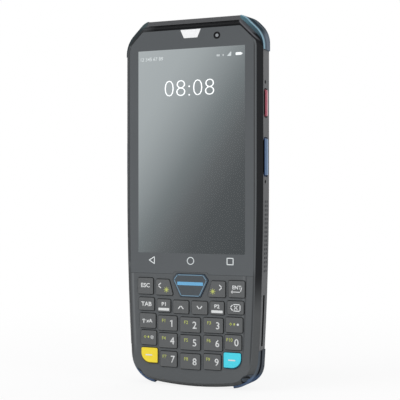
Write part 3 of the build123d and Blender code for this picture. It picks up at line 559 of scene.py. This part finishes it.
wallpaper = Finish("wallpaper", Roughness=0.5, Emission_Strength=1.0, Specular_IOR_Level=0.0)
wallpaper.feed("Base Color", (0.0, 0.0, 0.0, 1.0))
x, y, z = wallpaper.places()
across = (x + LIT_HALF) * (1 / (2 * LIT_HALF))
down = (LIT_HEAD - z) * (1 / (LIT_HEAD - LIT_FOOT))
fall = across * FALL_ACROSS + down * FALL_DOWN
stops = [(place, cool_grey(grey)) for place, grey in GREYS]
wallpaper.feed("Emission Color", wallpaper.node("ValToRGB", {"stops": stops}, {0: fall}))
dress([picture], wallpaper, "display_panel")
print("greys on the wallpaper:", len(GREYS))

# %% [markdown]
# ## Words
# Letters start as a text object, become a flat mesh, are scaled to their height in millimetres
# and get a hair of thickness from a Solidify modifier, because real print stands on the surface.
# A negative offset thins the letters, which is how the clock gets its light face.

# %% Words
def words(body, height, thin, wide=1.0):
    bpy.ops.object.select_all(action="DESELECT")
    bpy.ops.object.text_add()
    text = bpy.context.object
    text.data.body = body
    text.data.offset = -thin
    text.data.resolution_u = 3
    bpy.ops.object.convert(target="MESH")
    piece = bpy.context.object
    low = [min(v.co[axis] for v in piece.data.vertices) for axis in (0, 1)]
    high = [max(v.co[axis] for v in piece.data.vertices) for axis in (0, 1)]
    size = height * MM / (high[1] - low[1])
    piece.location = (-(low[0] + high[0]) / 2 * size * wide, -(low[1] + high[1]) / 2 * size, 0)
    piece.scale = (size * wide, size, size)
    bpy.ops.object.transform_apply(location=True, rotation=False, scale=True)
    solid = piece.modifiers.new("ink", "SOLIDIFY")
    solid.thickness = INK * MM
    solid.offset = 1
    bpy.ops.object.modifier_apply(modifier="ink")
    return piece


print("print stands", INK, "mm high")

# %% [markdown]
# ## Inks
# Printing ink is never quite even, so each ink is speckled a little. The symbols on the display
# glow with the same colour that they have, and the weaker their glow, the fainter they look.

# %% Inks
def ink(name, colour, glow=0.0):
    finish = Finish(name, Roughness=0.5, Specular_IOR_Level=0.2, Emission_Strength=glow)
    speck = finish.noise(0.5, 2)
    finish.feed("Base Color", finish.mix(speck, shade(colour, 0.9), colour))
    if glow:
        finish.feed("Emission Color", colour)
    return finish


white_ink = ink("white_ink", srgb(236, 238, 238))
lime_ink = ink("lime_ink", srgb(200, 208, 116))
sky_ink = ink("sky_ink", srgb(120, 186, 230))
rim_ink = ink("rim_ink", srgb(124, 160, 184))
lit_ink = ink("lit_ink", srgb(240, 243, 244), 0.8)
soft_ink = ink("soft_ink", srgb(228, 232, 233), 0.7)
faint_ink = ink("faint_ink", srgb(196, 202, 203), 0.6)
nav_ink = ink("nav_ink", srgb(222, 226, 227), 0.25)
print("four printed inks and four that glow")

# %% [markdown]
# ## What the display shows
# A clock, a signal wedge, a battery and a line of small print are on the picture. The three
# navigation symbols sit lower, on the printed border. They could be drawn in the wallpaper's
# material, but thin solids stay sharp from close by. Each is made of bars, joined into one piece,
# and seated at its own x and z.

# %% Clock and symbols
PICTURE_Y, GLASS_Y = -8.36, -9.4    # on the lit sheet, and on the outside of the glass
LINE = 0.45                    # width of the navigation symbols' lines
RING = 1.9                     # radius of the home symbol


def shown(pieces, name, x, z, y=PICTURE_Y, finish=lit_ink):
    piece = seat(joined(pieces, name), x, y, z, FRONT)
    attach(piece, "terminal")
    dress([piece], finish, "white_trim")


shown([words("08:08", 8.6, 0.024, 1.04)], "clock", -1.2, 161.5)
wedge = [bar((x / 4, 0), (x / 4, x / 4), 0.3) for x in range(9)]
shown(wedge, "signal_wedge", 20.8, 177.5, finish=faint_ink)
battery = [plate(3.3, 1.45, 0.3), plate(0.5, 0.7, 0.1, x=1.9)]
shown(battery, "battery_symbol", 27.1, 178.3, finish=soft_ink)
links = [plate(0.6, 1.1, 0.2, x=-2.2), plate(0.6, 1.1, 0.2, x=-1.2), plate(0.5, 1.0, 0.2, x=1.2)]
shown(links, "link_symbol", 17.2, 178.0, finish=faint_ink)
arrow = [(-1.7, 0), (1.4, 1.9), (1.4, -1.9)]
shown(strokes(arrow, LINE, True), "back_symbol", -22.8, 68.0, GLASS_Y, nav_ink)
box = [(-1.7, 1.7), (1.7, 1.7), (1.7, -1.7), (-1.7, -1.7)]
shown(strokes(box, LINE, True), "recent_symbol", 22.7, 68.3, GLASS_Y, nav_ink)
turns = [step * math.pi / 8 for step in range(16)]
ring = [(RING * math.cos(turn), RING * math.sin(turn)) for turn in turns]
shown(strokes(ring, LINE, True), "home_symbol", 0.0, 68.1, GLASS_Y, nav_ink)
shown([words("12 345 67 89", 2.0, -0.02)], "line_number", -23.4, 178.0, finish=faint_ink)
print("symbols shown: 8")

# %% [markdown]
# ## The keys
# The keys are moulded in the same grey as the face, a touch smoother. Their rounded edges and
# sides are painted darker than their tops, as painted shade. The edge is found by its direction,
# but it is very narrow, so on the dark keys painted shade darkens the border of each flat top as
# well. Two corner keys are bright yellow and cyan, and painted shade outside a wide arc rounds
# their outer lower corner. The six-sided scan key is a deep blue grey.

# %% Key finishes
KEY_Y = -10.0                  # the tops of the keys
# Painted shade darkens the rounded edges of all keys and the border of the dark keys' tops.
SHADE_BORDER = 0.5                   # width of the dark border, in millimetres
ARC_IN, ARC_UP = 5.75, 6.15    # the arc's centre, from the outer side and from the foot
ARC_REACH = (27.0, 29.2)       # squared distance from the centre
KEYS = {name[4:]: name for name in nodes
        if name.startswith("key_") and nodes[name]["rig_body"] != "terminal"}
dark_keys = [name for key, name in KEYS.items() if key not in ("yellow", "cyan", "scan")]


def inside(finish, axis, low, high):
    return finish.span(axis, low / MM + SHADE_BORDER, high / MM - SHADE_BORDER, 0.15)


def corner_shade(x, z, key, way):
    """1 outside a wide arc at the lower outer corner, on the left (-1) or the right (1)."""
    low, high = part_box(key)
    out = x * way + (ARC_IN - max(low.x * way, high.x * way) / MM)
    under = (low.z / MM + ARC_UP) - z
    return squares(out.at_least(0), under.at_least(0)).ramp(*ARC_REACH)


def key_rubber(name, colour, rim, keys=(), corner=None):
    """Key material: painted shade darkens the rounded edge, the sides and the border of the top.
    """
    finish = plastic(name, colour, 0.48, 0.3, 0.008)
    masks = [(1 - (finish.facing()[1] * -1).ramp(0.6, 0.97), rim)]
    x, y, z = finish.places()
    tops = [inside(finish, x, low.x, high.x) * inside(finish, z, low.z, high.z)
            for low, high in (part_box(key) for key in keys)]
    if tops:
        masks.append((1 - sum(tops[1:], tops[0]), rim))
    if corner:
        masks.append((corner_shade(x, z, *corner), rim))
    return overlay(finish, masks)


dress(dark_keys, key_rubber("dark_key_rubber", srgb(98, 100, 101), srgb(40, 42, 43), dark_keys))
dress(["key_yellow"], key_rubber("yellow_key_rubber", srgb(255, 230, 66), srgb(110, 96, 22),
                                 corner=("key_yellow", -1)))
dress(["key_cyan"], key_rubber("cyan_key_rubber", srgb(84, 226, 246), srgb(24, 96, 116),
                               corner=("key_cyan", 1)))
dress(["key_scan"], key_rubber("scan_key_rubber", srgb(78, 84, 89), srgb(30, 58, 84)))
print(len(KEYS), "keys on the face,", len(dark_keys), "of them dark")

# %% [markdown]
# ## Printing on the keys
# `printed` lays a joined piece on a key and lets it ride on that key's body, so the print
# moves when the key is pressed. Letters in the key's material would move as well, but would be
# hard to place. Places are measured from the middle of the key. Each number key has a large digit
# on the right and a small second legend in lime at the top left.

# %% Digits
DIGIT, LEGEND = 3.9, 1.8       # heights
DIGIT_BOLD, LEGEND_BOLD = -0.012, -0.01


def printed(key, pieces, name, x=0.0, z=0.0, finish=white_ink):
    at = middle("key_" + key)
    piece = seat(joined(pieces, f"print_{key}_{name}"), at.x + x, KEY_Y, at.z + z, FRONT)
    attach(piece, f"key_{key}_cap")
    dress([piece], finish, "white_trim")


for number in "1234567890":
    legend, right, left = ("F10", 1.9, -2.0) if number == "0" else ("F" + number, 2.6, -2.3)
    flag = [bar((-0.85, 1.15), (-0.2, 1.75), 0.45)] if number == "1" else []
    printed(number, [words(number, DIGIT, DIGIT_BOLD, 0.95)] + flag, "digit", right, 0)
    printed(number, [words(legend, LEGEND, LEGEND_BOLD)], "shift", left, 1.3, lime_ink)
print("digits printed, the last with", legend)

# %% [markdown]
# Most function keys carry a short word or an arrow, and two of them a bar below the word. A bold
# word is the same text with a positive offset, which swells the outline of its letters.

# %% Words on the function keys
BOLD = -0.03

printed("esc", [words("ESC", 2.4, BOLD, 1.05)], "word", 0, 0.4)
printed("tab", [words("TAB", 2.4, BOLD, 1.05)], "word")
for key in ("p1", "p2"):
    printed(key, [words(key.upper(), 2.1, BOLD, 1.1)], "word", 0, 0.9)
    printed(key, [plate(6.4, 1.4, 0.2)], "line", 0, -1.9)
print("words printed")

# %% [markdown]
# Arrows are bars from point to point. Drawing them as text would leave their look to the font.

# %% Arrows on the function keys
THICK, THIN = 0.55, 0.4        # widths of the bars

printed("up", strokes([(-1.3, -0.8), (0, 0.8), (1.3, -0.8)], THICK), "arrow")
printed("down", strokes([(-1.3, 0.8), (0, -0.8), (1.3, 0.8)], THICK), "arrow")
printed("left", strokes([(0.7, 1.2), (-0.7, 0), (0.7, -1.2)], THICK), "arrow", -2.9, 0.9)
printed("right", strokes([(-0.7, 1.2), (0.7, 0), (-0.7, -1.2)], THICK), "arrow", 2.4, 0.9)
print("arrows printed")

# %% [markdown]
# Three keys have a drawing: a bent arrow below a word, an upward arrow beside two letters, and a
# cross inside a tag. They are drawn with thin bars, because thick ones would run together.

# %% Enter, case and backspace
printed("enter", [words("ENT", 2.0, BOLD, 1.0)], "word", 0.2, 0.9)
printed("enter", strokes([(-3.1, -1.5), (2.2, -1.5), (2.9, 0.9)], THIN)
        + strokes([(-2.4, -0.9), (-3.1, -1.5), (-2.4, -2.1)], THIN), "arrow")
printed("case", strokes([(-3.1, 0.3), (-2.3, 1.1), (-1.5, 0.3)], THIN)
        + strokes([(-2.3, 0.8), (-2.3, -1.1)], 0.5), "arrow")
printed("case", [words("xA", 2.1, BOLD, 1.05)], "word", 1.0, 0)
tag = [(-2.9, 0), (-1.4, 1.7), (2.6, 1.7), (2.6, -1.7), (-1.4, -1.7)]
printed("backspace", strokes(tag, 0.5, True) + strokes([(-0.6, -0.8), (1.0, 0.8)], 0.45)
        + strokes([(-0.6, 0.8), (1.0, -0.8)], 0.45), "arrow")
print("function keys printed")

# %% [markdown]
# A lamp with rays stands for the key light: a small round lamp and a ring of short bars. Each
# symbol key has a cross and a small block in lime beside a white mark, a dot on one and a lattice
# on the other. The coloured keys have a dash.

# %% Lamps, dots and dashes
def lamp(size):
    rays = []
    for turn in range(8):
        along, up = math.cos(turn * math.pi / 4), math.sin(turn * math.pi / 4)
        start, end = (along * size, up * size), (along * size * 1.3, up * size * 1.3)
        rays.append(bar(start, end, 0.3))
    return [plate(size * 1.4, size * 1.4, size * 0.55)] + rays


def cross(x):
    return strokes([(x - 0.5, 0), (x + 0.5, 0)], 0.5) + strokes([(x, 0.5), (x, -0.5)], 0.5)


printed("left", lamp(1.1), "lamp", 1.3, -1.3, lime_ink)
printed("right", lamp(1.1), "lamp", -2.2, -1.3, lime_ink)
for key, at in (("star", -1.9), ("hash", -2.1)):
    printed(key, cross(at) + [plate(0.9, 1.1, 0.3, x=at + 2)], "shift", 0, 0.4, lime_ink)
printed("star", [plate(1.2, 1.2, 0.55)], "dot", 2.1, 0.3)
lattice = []
for place in (0.35, -0.35):
    lattice += strokes([(-0.8, place), (0.8, place)], 0.35)
for place in (-0.35, 0.35):
    lattice += strokes([(place, -0.8), (place, 0.8)], 0.35)
printed("hash", lattice, "dot", 2.1, 0.3)
for key in ("yellow", "cyan"):
    printed(key, [plate(4.0, 0.7, 0.2)], "dash", -0.3, 0.2)
print("lamps, dots and dashes printed")

# %% [markdown]
# The scan key has a pale blue outline just inside its six sides and a bright bar across it. The
# outline is printed and not modelled, because it is flush with the top of the key.

# %% Scan key
six_sides = [(-7.4, 5.55), (7.4, 5.55), (9.4, 2.9), (5.3, -5.55), (-5.3, -5.55), (-9.4, 2.9)]
printed("scan", strokes(six_sides, 0.38, True), "outline", 0, 0.05, rim_ink)
printed("scan", [plate(15.0, 1.8, 0.3)], "bar", 0, 1.0, sky_ink)
print("scan key printed")

# %% [markdown]
# ## The dotted grip
# Below each side scan key the band carries two rows of small raised dots, to hold it by. They
# could be a bump in the material, but raised dots show in the outline. One dot is a low drum
# with a rounded edge; it is copied along the band, and every copy is set on the band's curve.

# %% One dot
DOT_RADIUS, DOT_HEIGHT, DOT_BEVEL = 0.68, 0.3, 0.1
DOT_ROWS, DOT_PITCH, DOT_TOP = 17, 2.3, 100
DOT_COLUMNS = (-1.8, 1.1)
DOT_RAISED = 0.02              # the drum's middle over the surface of the band

bpy.ops.object.select_all(action="DESELECT")
bpy.ops.mesh.primitive_cylinder_add(vertices=16, radius=DOT_RADIUS * MM, depth=DOT_HEIGHT * MM)
dot = bpy.context.object
bpy.ops.object.mode_set(mode="EDIT")
bpy.ops.mesh.select_all(action="SELECT")
bpy.ops.mesh.bevel(offset=DOT_BEVEL * MM, segments=2)
bpy.ops.object.mode_set(mode="OBJECT")
dot.data.materials.append(plastic("grip_dot_plastic", srgb(68, 69, 71), 0.5, gloss=0.06).material)
print("faces on a dot:", len(dot.data.polygons))

# %% [markdown]
# Each copy gets its own mesh from `duplicate`, leans with the arc and is turned to face outwards.
# All dots of one side are then joined, because one piece is easier to handle than 34.

# %% Dots along the band
def band_x(z):
    drop = WAIST - z
    return HALF_BAND - (ARC - math.sqrt(ARC * ARC - drop * drop))


for side, way in (("right", 1), ("left", -1)):
    copies = []
    for row in range(DOT_ROWS):
        for y in DOT_COLUMNS:
            z = DOT_TOP - DOT_PITCH * row
            only(dot)
            bpy.ops.object.duplicate()
            lean = math.asin((WAIST - z) / ARC)
            turn = (0, way * (math.radians(90) + lean), 0)
            copies.append(seat(bpy.context.object, way * (band_x(z) + DOT_RAISED), y, z, turn))
    grip = joined(copies, f"grip_dots_{side}")
    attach(grip, "terminal")
only(dot)
bpy.ops.object.delete()
print("grip dots:", DOT_ROWS * len(DOT_COLUMNS) * 2)

# %% [markdown]
# ## Rubber bumpers
# The corner bumpers are soft blue rubber with a dusty, even sheen. Seen edge on, glossy rubber
# would turn white, so its gloss is nearly off. The masks follow the moulding: painted shade in a
# groove and ribs that run round the corner, a painted highlight as a pale rim along the front on
# the right, and painted light on the right front edge. The left front edge and the lower bumpers
# are painted darker as painted shade, with a painted shadow along a rib of the lower bumpers.
# Faces that look up over the head are painted darker, the foot is bluer, and the front face's
# blue fades from the head downwards. The groove is wide over the head and narrow down the side.
# Real grooves this shallow would need many faces, so a bump lowers the surface.

# %% Rubber bumpers
bumpers = [f"bumper_{end}_{side}" for end in ("top", "bottom") for side in ("left", "right")]
rubber = plastic("bumper_rubber", srgb(108, 118, 130), 0.8, 0.6, 0.02, 0.02)
x, y, z = rubber.places()
_, front, up = rubber.facing()
front = front * -1
flat, edge = front.ramp(0.85, 0.95), front.ramp(0.35, 0.5)
right, lower, foot = x.ramp(-5, 5), 1 - z.ramp(30, 40), 1 - z.ramp(6, 9)
head = up.ramp(0.3, 0.6)
groove = rubber.span(y, -3.6, 0.2, 0.5) * head + rubber.span(y, -3.6, -1.7, 0.4) * (1 - head)
ribs = groove + rubber.span(y, 2.6, 3.0, 0.2)
# Painted light and shade on the bumpers, in the order told above.
overlay(rubber, [
    (head, srgb(80, 88, 95)),
    (ribs, srgb(80, 92, 102)),
    (ribs * head, srgb(36, 52, 62)),
    (rubber.span(y, -5.6, -4.3, 0.15) * right, srgb(132, 164, 180)),
    (lower, srgb(78, 83, 89)),
    (lower * rubber.span(y, -3.0, -0.5, 0.4), srgb(14, 19, 25)),
    (foot, srgb(64, 82, 108)),
    (edge * right, srgb(140, 174, 190)),
    (flat * right, srgb(76, 98, 108)),
    (flat * right * z.ramp(192, 196), srgb(88, 122, 134)),
    (flat * right * (1 - z.ramp(185, 190)), srgb(40, 54, 64)),
    (edge * (1 - right), srgb(62, 70, 73)),
    (edge * (1 - right) * z.ramp(195, 197), srgb(76, 90, 92)),
    (edge * lower, srgb(92, 100, 108)),
    (edge * foot, srgb(98, 116, 142)),
    (flat * foot, srgb(92, 112, 146)),
])
rubber.relief(1 - ribs, 0.12)
dress(bumpers, rubber)
print("bumpers dressed:", len(bumpers))

# %% [markdown]
# ## Side keys, trim and the front lens
# The side keys are harder than the bumpers. A paler stripe along their middle is a painted
# highlight, and the side that faces forwards is painted darker, as the shadow of the opening. The
# earpiece cover is plain white, and the front lens is a black ring round a pale middle, which is
# a painted highlight.

# %% Side keys and trim
def side_rubber(name, colour, pale, stripe_highlight):
    """Side key material: a painted highlight along the middle, and painted shade on the faces
    that lean forwards.
    """
    finish = plastic(name, colour, 0.4, 0.3, 0.006, 0.08)
    front = finish.facing()[1] * -1
    stripe = finish.span(finish.places()[1], -0.9, 0.9, 0.5)
    return overlay(finish, [
        (stripe, stripe_highlight),
        # `pale` is painted shade: the faces that lean forwards are darker, in the shadow of the
        # opening.
        (front.ramp(0.2, 0.6), pale),
        (front.ramp(0.85, 0.98), HOLLOW_SHADE),
    ])


red = side_rubber("red_key", srgb(150, 56, 74), srgb(120, 60, 72), srgb(206, 158, 168))
blue = side_rubber("blue_key", srgb(76, 104, 138), srgb(40, 66, 112), srgb(128, 150, 178))
dress(["side_key_red"], red)
dress(["side_scan_right", "side_scan_left"], blue)
dress(["volume_rocker"], plastic("rocker_key", srgb(60, 63, 66), 0.4, 0.3, 0.006))
dress(["earpiece_cover"], plastic("white_trim", srgb(253, 254, 255), 0.3, 0.3, 0.003))
eye = plastic("front_lens", srgb(20, 21, 23), 0.4, 0.3, 0.001, 0.1)
x, y, z = eye.places()
at = middle("front_camera")
# A painted highlight makes the middle of the lens pale.
overlay(eye, [(1 - squares(x - at.x, z - at.z).ramp(0.5, 1.0), srgb(150, 154, 157))])
dress(["front_camera"], eye)
print("side keys and trim dressed")

# %% [markdown]
# ## Metal
# Brushed and pressed metal has fine streaks in its colour and its gloss. One fine noise drives
# colour, roughness and relief alike, because on real metal they come from the same scratches.

# %% Metals
def metal(name, colour, roughness):
    finish = Finish(name, Metallic=1.0)
    brushed = finish.noise(0.6, 3)
    finish.feed("Base Color", finish.mix(brushed, shade(colour, 0.85), colour))
    finish.feed("Roughness", brushed * 0.15 + (roughness - 0.07))
    finish.relief(brushed, 0.004)
    return finish


sheet_steel = metal("chassis_steel", srgb(150, 152, 156), 0.45)
dress(["chassis_plate", "side_switches", "dome_switches"], sheet_steel)
dress(["housing_screws"], metal("screw_steel", srgb(92, 94, 98), 0.35))
dress(["usb_socket"], metal("socket_steel", srgb(176, 178, 182), 0.3))
dress(["battery_contacts"], metal("contact_gold", srgb(212, 172, 96), 0.3))
print("metals: 4")

# %% [markdown]
# ## The back and what is inside
# The rear housing and the battery cover are the same grained plastic as the band, a shade darker
# and coarser, because the back is what the hand holds. The boards are green lacquer. What is
# inside only shows when the cover is off, so it gets plain finishes from the makers above.

# %% Back and insides
dress(["rear_housing"], plastic("rear_housing_plastic", srgb(66, 68, 71), 0.52, 0.6, 0.02))
dress(["battery_cover"], plastic("battery_cover_plastic", srgb(60, 62, 65), 0.5, 0.6, 0.02))
dress(["main_board", "keypad_board"], plastic("board_lacquer", srgb(30, 82, 58), 0.35, 0.8, 0.01))
dress(["battery_pack"], plastic("battery_sleeve", srgb(46, 48, 52), 0.45))
dress(["keypad_mat"], plastic("silicone_mat", srgb(60, 62, 66), 0.55))
dress(["rear_camera"], plastic("camera_barrel", srgb(26, 27, 30), 0.3, 0.3, 0.004, 0.4))
lens = Finish("clear_lens", Roughness=0.08, IOR=1.5)
lens.feed("Base Color", lens.mix(lens.noise(1.5), srgb(226, 222, 200), srgb(240, 236, 220)))
dress(["flash_lens"], lens)
window = Finish("scan_window_glass", Roughness=0.05, IOR=1.5)
window.feed("Base Color", window.mix(window.noise(8), srgb(60, 16, 20), srgb(84, 22, 28)))
window.feed("Alpha", window.noise(8) * 0.05 + 0.6)
dress(["scan_window"], window)
print("back and insides dressed")

# %% [markdown]
# ## The rear lens
# The lens has a chamfered steel ring and a domed, coated glass. Both are round, so they are
# outlines of radius and depth: a circle is drawn for each point and the circles are bridged.
# Spin would do as well, but it leaves a seam that has to be merged afterwards.

# %% Rear lens
BACK_FACE = 9.7                # where the rear camera ends, in y
RING_OUTLINE = [(4.3, 0), (4.2, 0.22), (3.5, 0.22), (3.1, 0.02)]
DOME_OUTLINE = [(2.9, 0.02), (2.5, 0.1), (1.7, 0.17), (0.8, 0.2), (0.05, 0.21)]


def turned(name, outline, x, y, z):
    """Ring or dome from an outline of radius and depth, facing backwards."""
    bpy.ops.object.select_all(action="DESELECT")
    bpy.ops.mesh.primitive_plane_add(size=1)
    piece = bpy.context.object
    bpy.ops.object.mode_set(mode="EDIT")
    bpy.ops.mesh.select_all(action="SELECT")
    bpy.ops.mesh.delete(type="VERT")
    for radius, depth in outline:
        bpy.ops.mesh.primitive_circle_add(vertices=48, radius=radius * MM,
                                          location=(0, 0, depth * MM))
    bpy.ops.mesh.select_all(action="SELECT")
    bpy.ops.mesh.bridge_edge_loops()
    bpy.ops.mesh.select_all(action="SELECT")
    bpy.ops.mesh.normals_make_consistent(inside=False)
    bpy.ops.object.mode_set(mode="OBJECT")
    bpy.ops.object.shade_smooth_by_angle(angle=math.radians(35))
    piece.name = name
    seat(piece, x, y, z, (math.radians(-90), 0, 0))
    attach(piece, "terminal")
    return piece


at = middle("rear_camera")
ring = turned("rear_lens_ring", RING_OUTLINE, at.x, BACK_FACE, at.z)
dress([ring], metal("ring_steel", srgb(120, 122, 126), 0.3), "camera_glass")
dome = turned("rear_lens", DOME_OUTLINE, at.x, BACK_FACE, at.z)
coating = Finish("lens_coating", Roughness=0.05, IOR=1.5, Coat_Weight=0.6)
x, y, z = coating.places()
off = squares(x - at.x, z - at.z)
violet = coating.mix(off.ramp(1.0, 2.4), srgb(10, 10, 14), srgb(44, 34, 74))
coating.feed("Base Color", coating.mix(off.ramp(3.2, 6.0), violet, srgb(18, 20, 26)))
dress([dome], coating, "camera_glass")
print("rear lens:", round(2 * RING_OUTLINE[0][0], 1), "mm across its ring")

# %% [markdown]
# ## The floor
# The terminal stands on a plain pale floor that keeps a faint shadow. What the camera and the
# reflections see of it is mixed with a white glow, a little less near the terminal, so that the
# shadow stays, and all of it further off, where the floor can't be told from the background. A
# floor that only catches shadows would be simpler, but it shows none of its own colour.

# %% Floor
NEAR, FAR, NEAR_GLOW = 40, 420, 0.86

bpy.ops.object.select_all(action="DESELECT")
bpy.ops.mesh.primitive_grid_add(x_subdivisions=8, y_subdivisions=8, size=8, location=(0, 0, 0))
floor = bpy.context.object
floor.name = "floor"
pale = Finish("pale_floor", Roughness=0.9, Specular_IOR_Level=0.0)
pale.feed("Base Color", srgb(244, 244, 245))
glow = pale.node("Emission", None, {"Color": (1, 1, 1, 1), "Strength": 1.0})
path = pale.tree.nodes.new("ShaderNodeLightPath")
seen = Wire(pale, path.outputs["Is Camera Ray"]) + Wire(pale, path.outputs["Is Glossy Ray"])
seen = seen + Wire(pale, path.outputs["Is Transmission Ray"])
x, y, z = pale.places()
share = squares(x, y).root().ramp(NEAR, FAR) * (1 - NEAR_GLOW) + NEAR_GLOW
body = Wire(pale, pale.shader.outputs[0])
cover = pale.node("MixShader", None, {0: seen.at_most(1.0) * share, 1: body, 2: glow})
pale.plug(cover, pale.tree.nodes["Material Output"].inputs["Surface"])
floor.data.materials.append(pale.material)
print("floor glow:", NEAR_GLOW, "near the terminal, 1 beyond", FAR, "mm")

# %% [markdown]
# ## The background
# The world is a plain pale dome: what the camera and reflections see is white, and what lights
# the object is dimmer, so that a colour renders about as it is written.

# %% Background
DOME = 0.62

world = bpy.context.scene.world or bpy.data.worlds.new("world")
bpy.context.scene.world = world
world.use_nodes = True
tree = world.node_tree
sky = tree.nodes["Background"]
sky.inputs["Color"].default_value = (1, 1, 1, 1)
path = tree.nodes.new("ShaderNodeLightPath")


def world_sum(operation, first, second):
    node = tree.nodes.new("ShaderNodeMath")
    node.operation = operation
    for place, value in enumerate((first, second)):
        if isinstance(value, bpy.types.NodeSocket):
            tree.links.new(value, node.inputs[place])
        else:
            node.inputs[place].default_value = value
    return node.outputs[0]


seen = world_sum("MAXIMUM", path.outputs["Is Camera Ray"], path.outputs["Is Glossy Ray"])
seen = world_sum("MAXIMUM", seen, path.outputs["Is Transmission Ray"])
strength = world_sum("ADD", world_sum("MULTIPLY", seen, 1 - DOME), DOME)
tree.links.new(strength, sky.inputs["Strength"])
print("the dome lights with", DOME, "and shows as 1")

# %% [markdown]
# ## The lamps
# Three large round lamps give soft studio light: the main one from the upper left, a weaker one
# on the side band and one from behind, which draws the back's edges. Each is turned so that it
# looks at the middle of the terminal.

# %% Lamps
MIDDLE = (0, 0, 0.1)


def lamp_panel(name, size, power, place):
    bpy.ops.object.light_add(type="AREA", location=place)
    light = bpy.context.object
    light.name = name
    light.data.shape = "DISK"
    light.data.size = size
    light.data.energy = power
    direction = [a - p for a, p in zip(MIDDLE, place)]
    flat = math.hypot(direction[0], direction[1])
    light.rotation_euler = (math.atan2(flat, -direction[2]), 0,
                            math.atan2(-direction[0], direction[1]))


# Name, size in metres, power in watts, place.
lamp_panel("key_light", 0.9, 9, (-1.0, -0.9, 1.1))
lamp_panel("side_light", 0.7, 4, (1.5, -0.35, 0.6))
lamp_panel("back_light", 0.8, 4, (0.3, 1.5, 0.9))
bpy.context.scene.view_settings.view_transform = "Standard"

# %% [markdown]
# ## Finish
# Looks may not grow the object. Only the printing on the key tops stands out of the CAD box, by
# its own thickness.
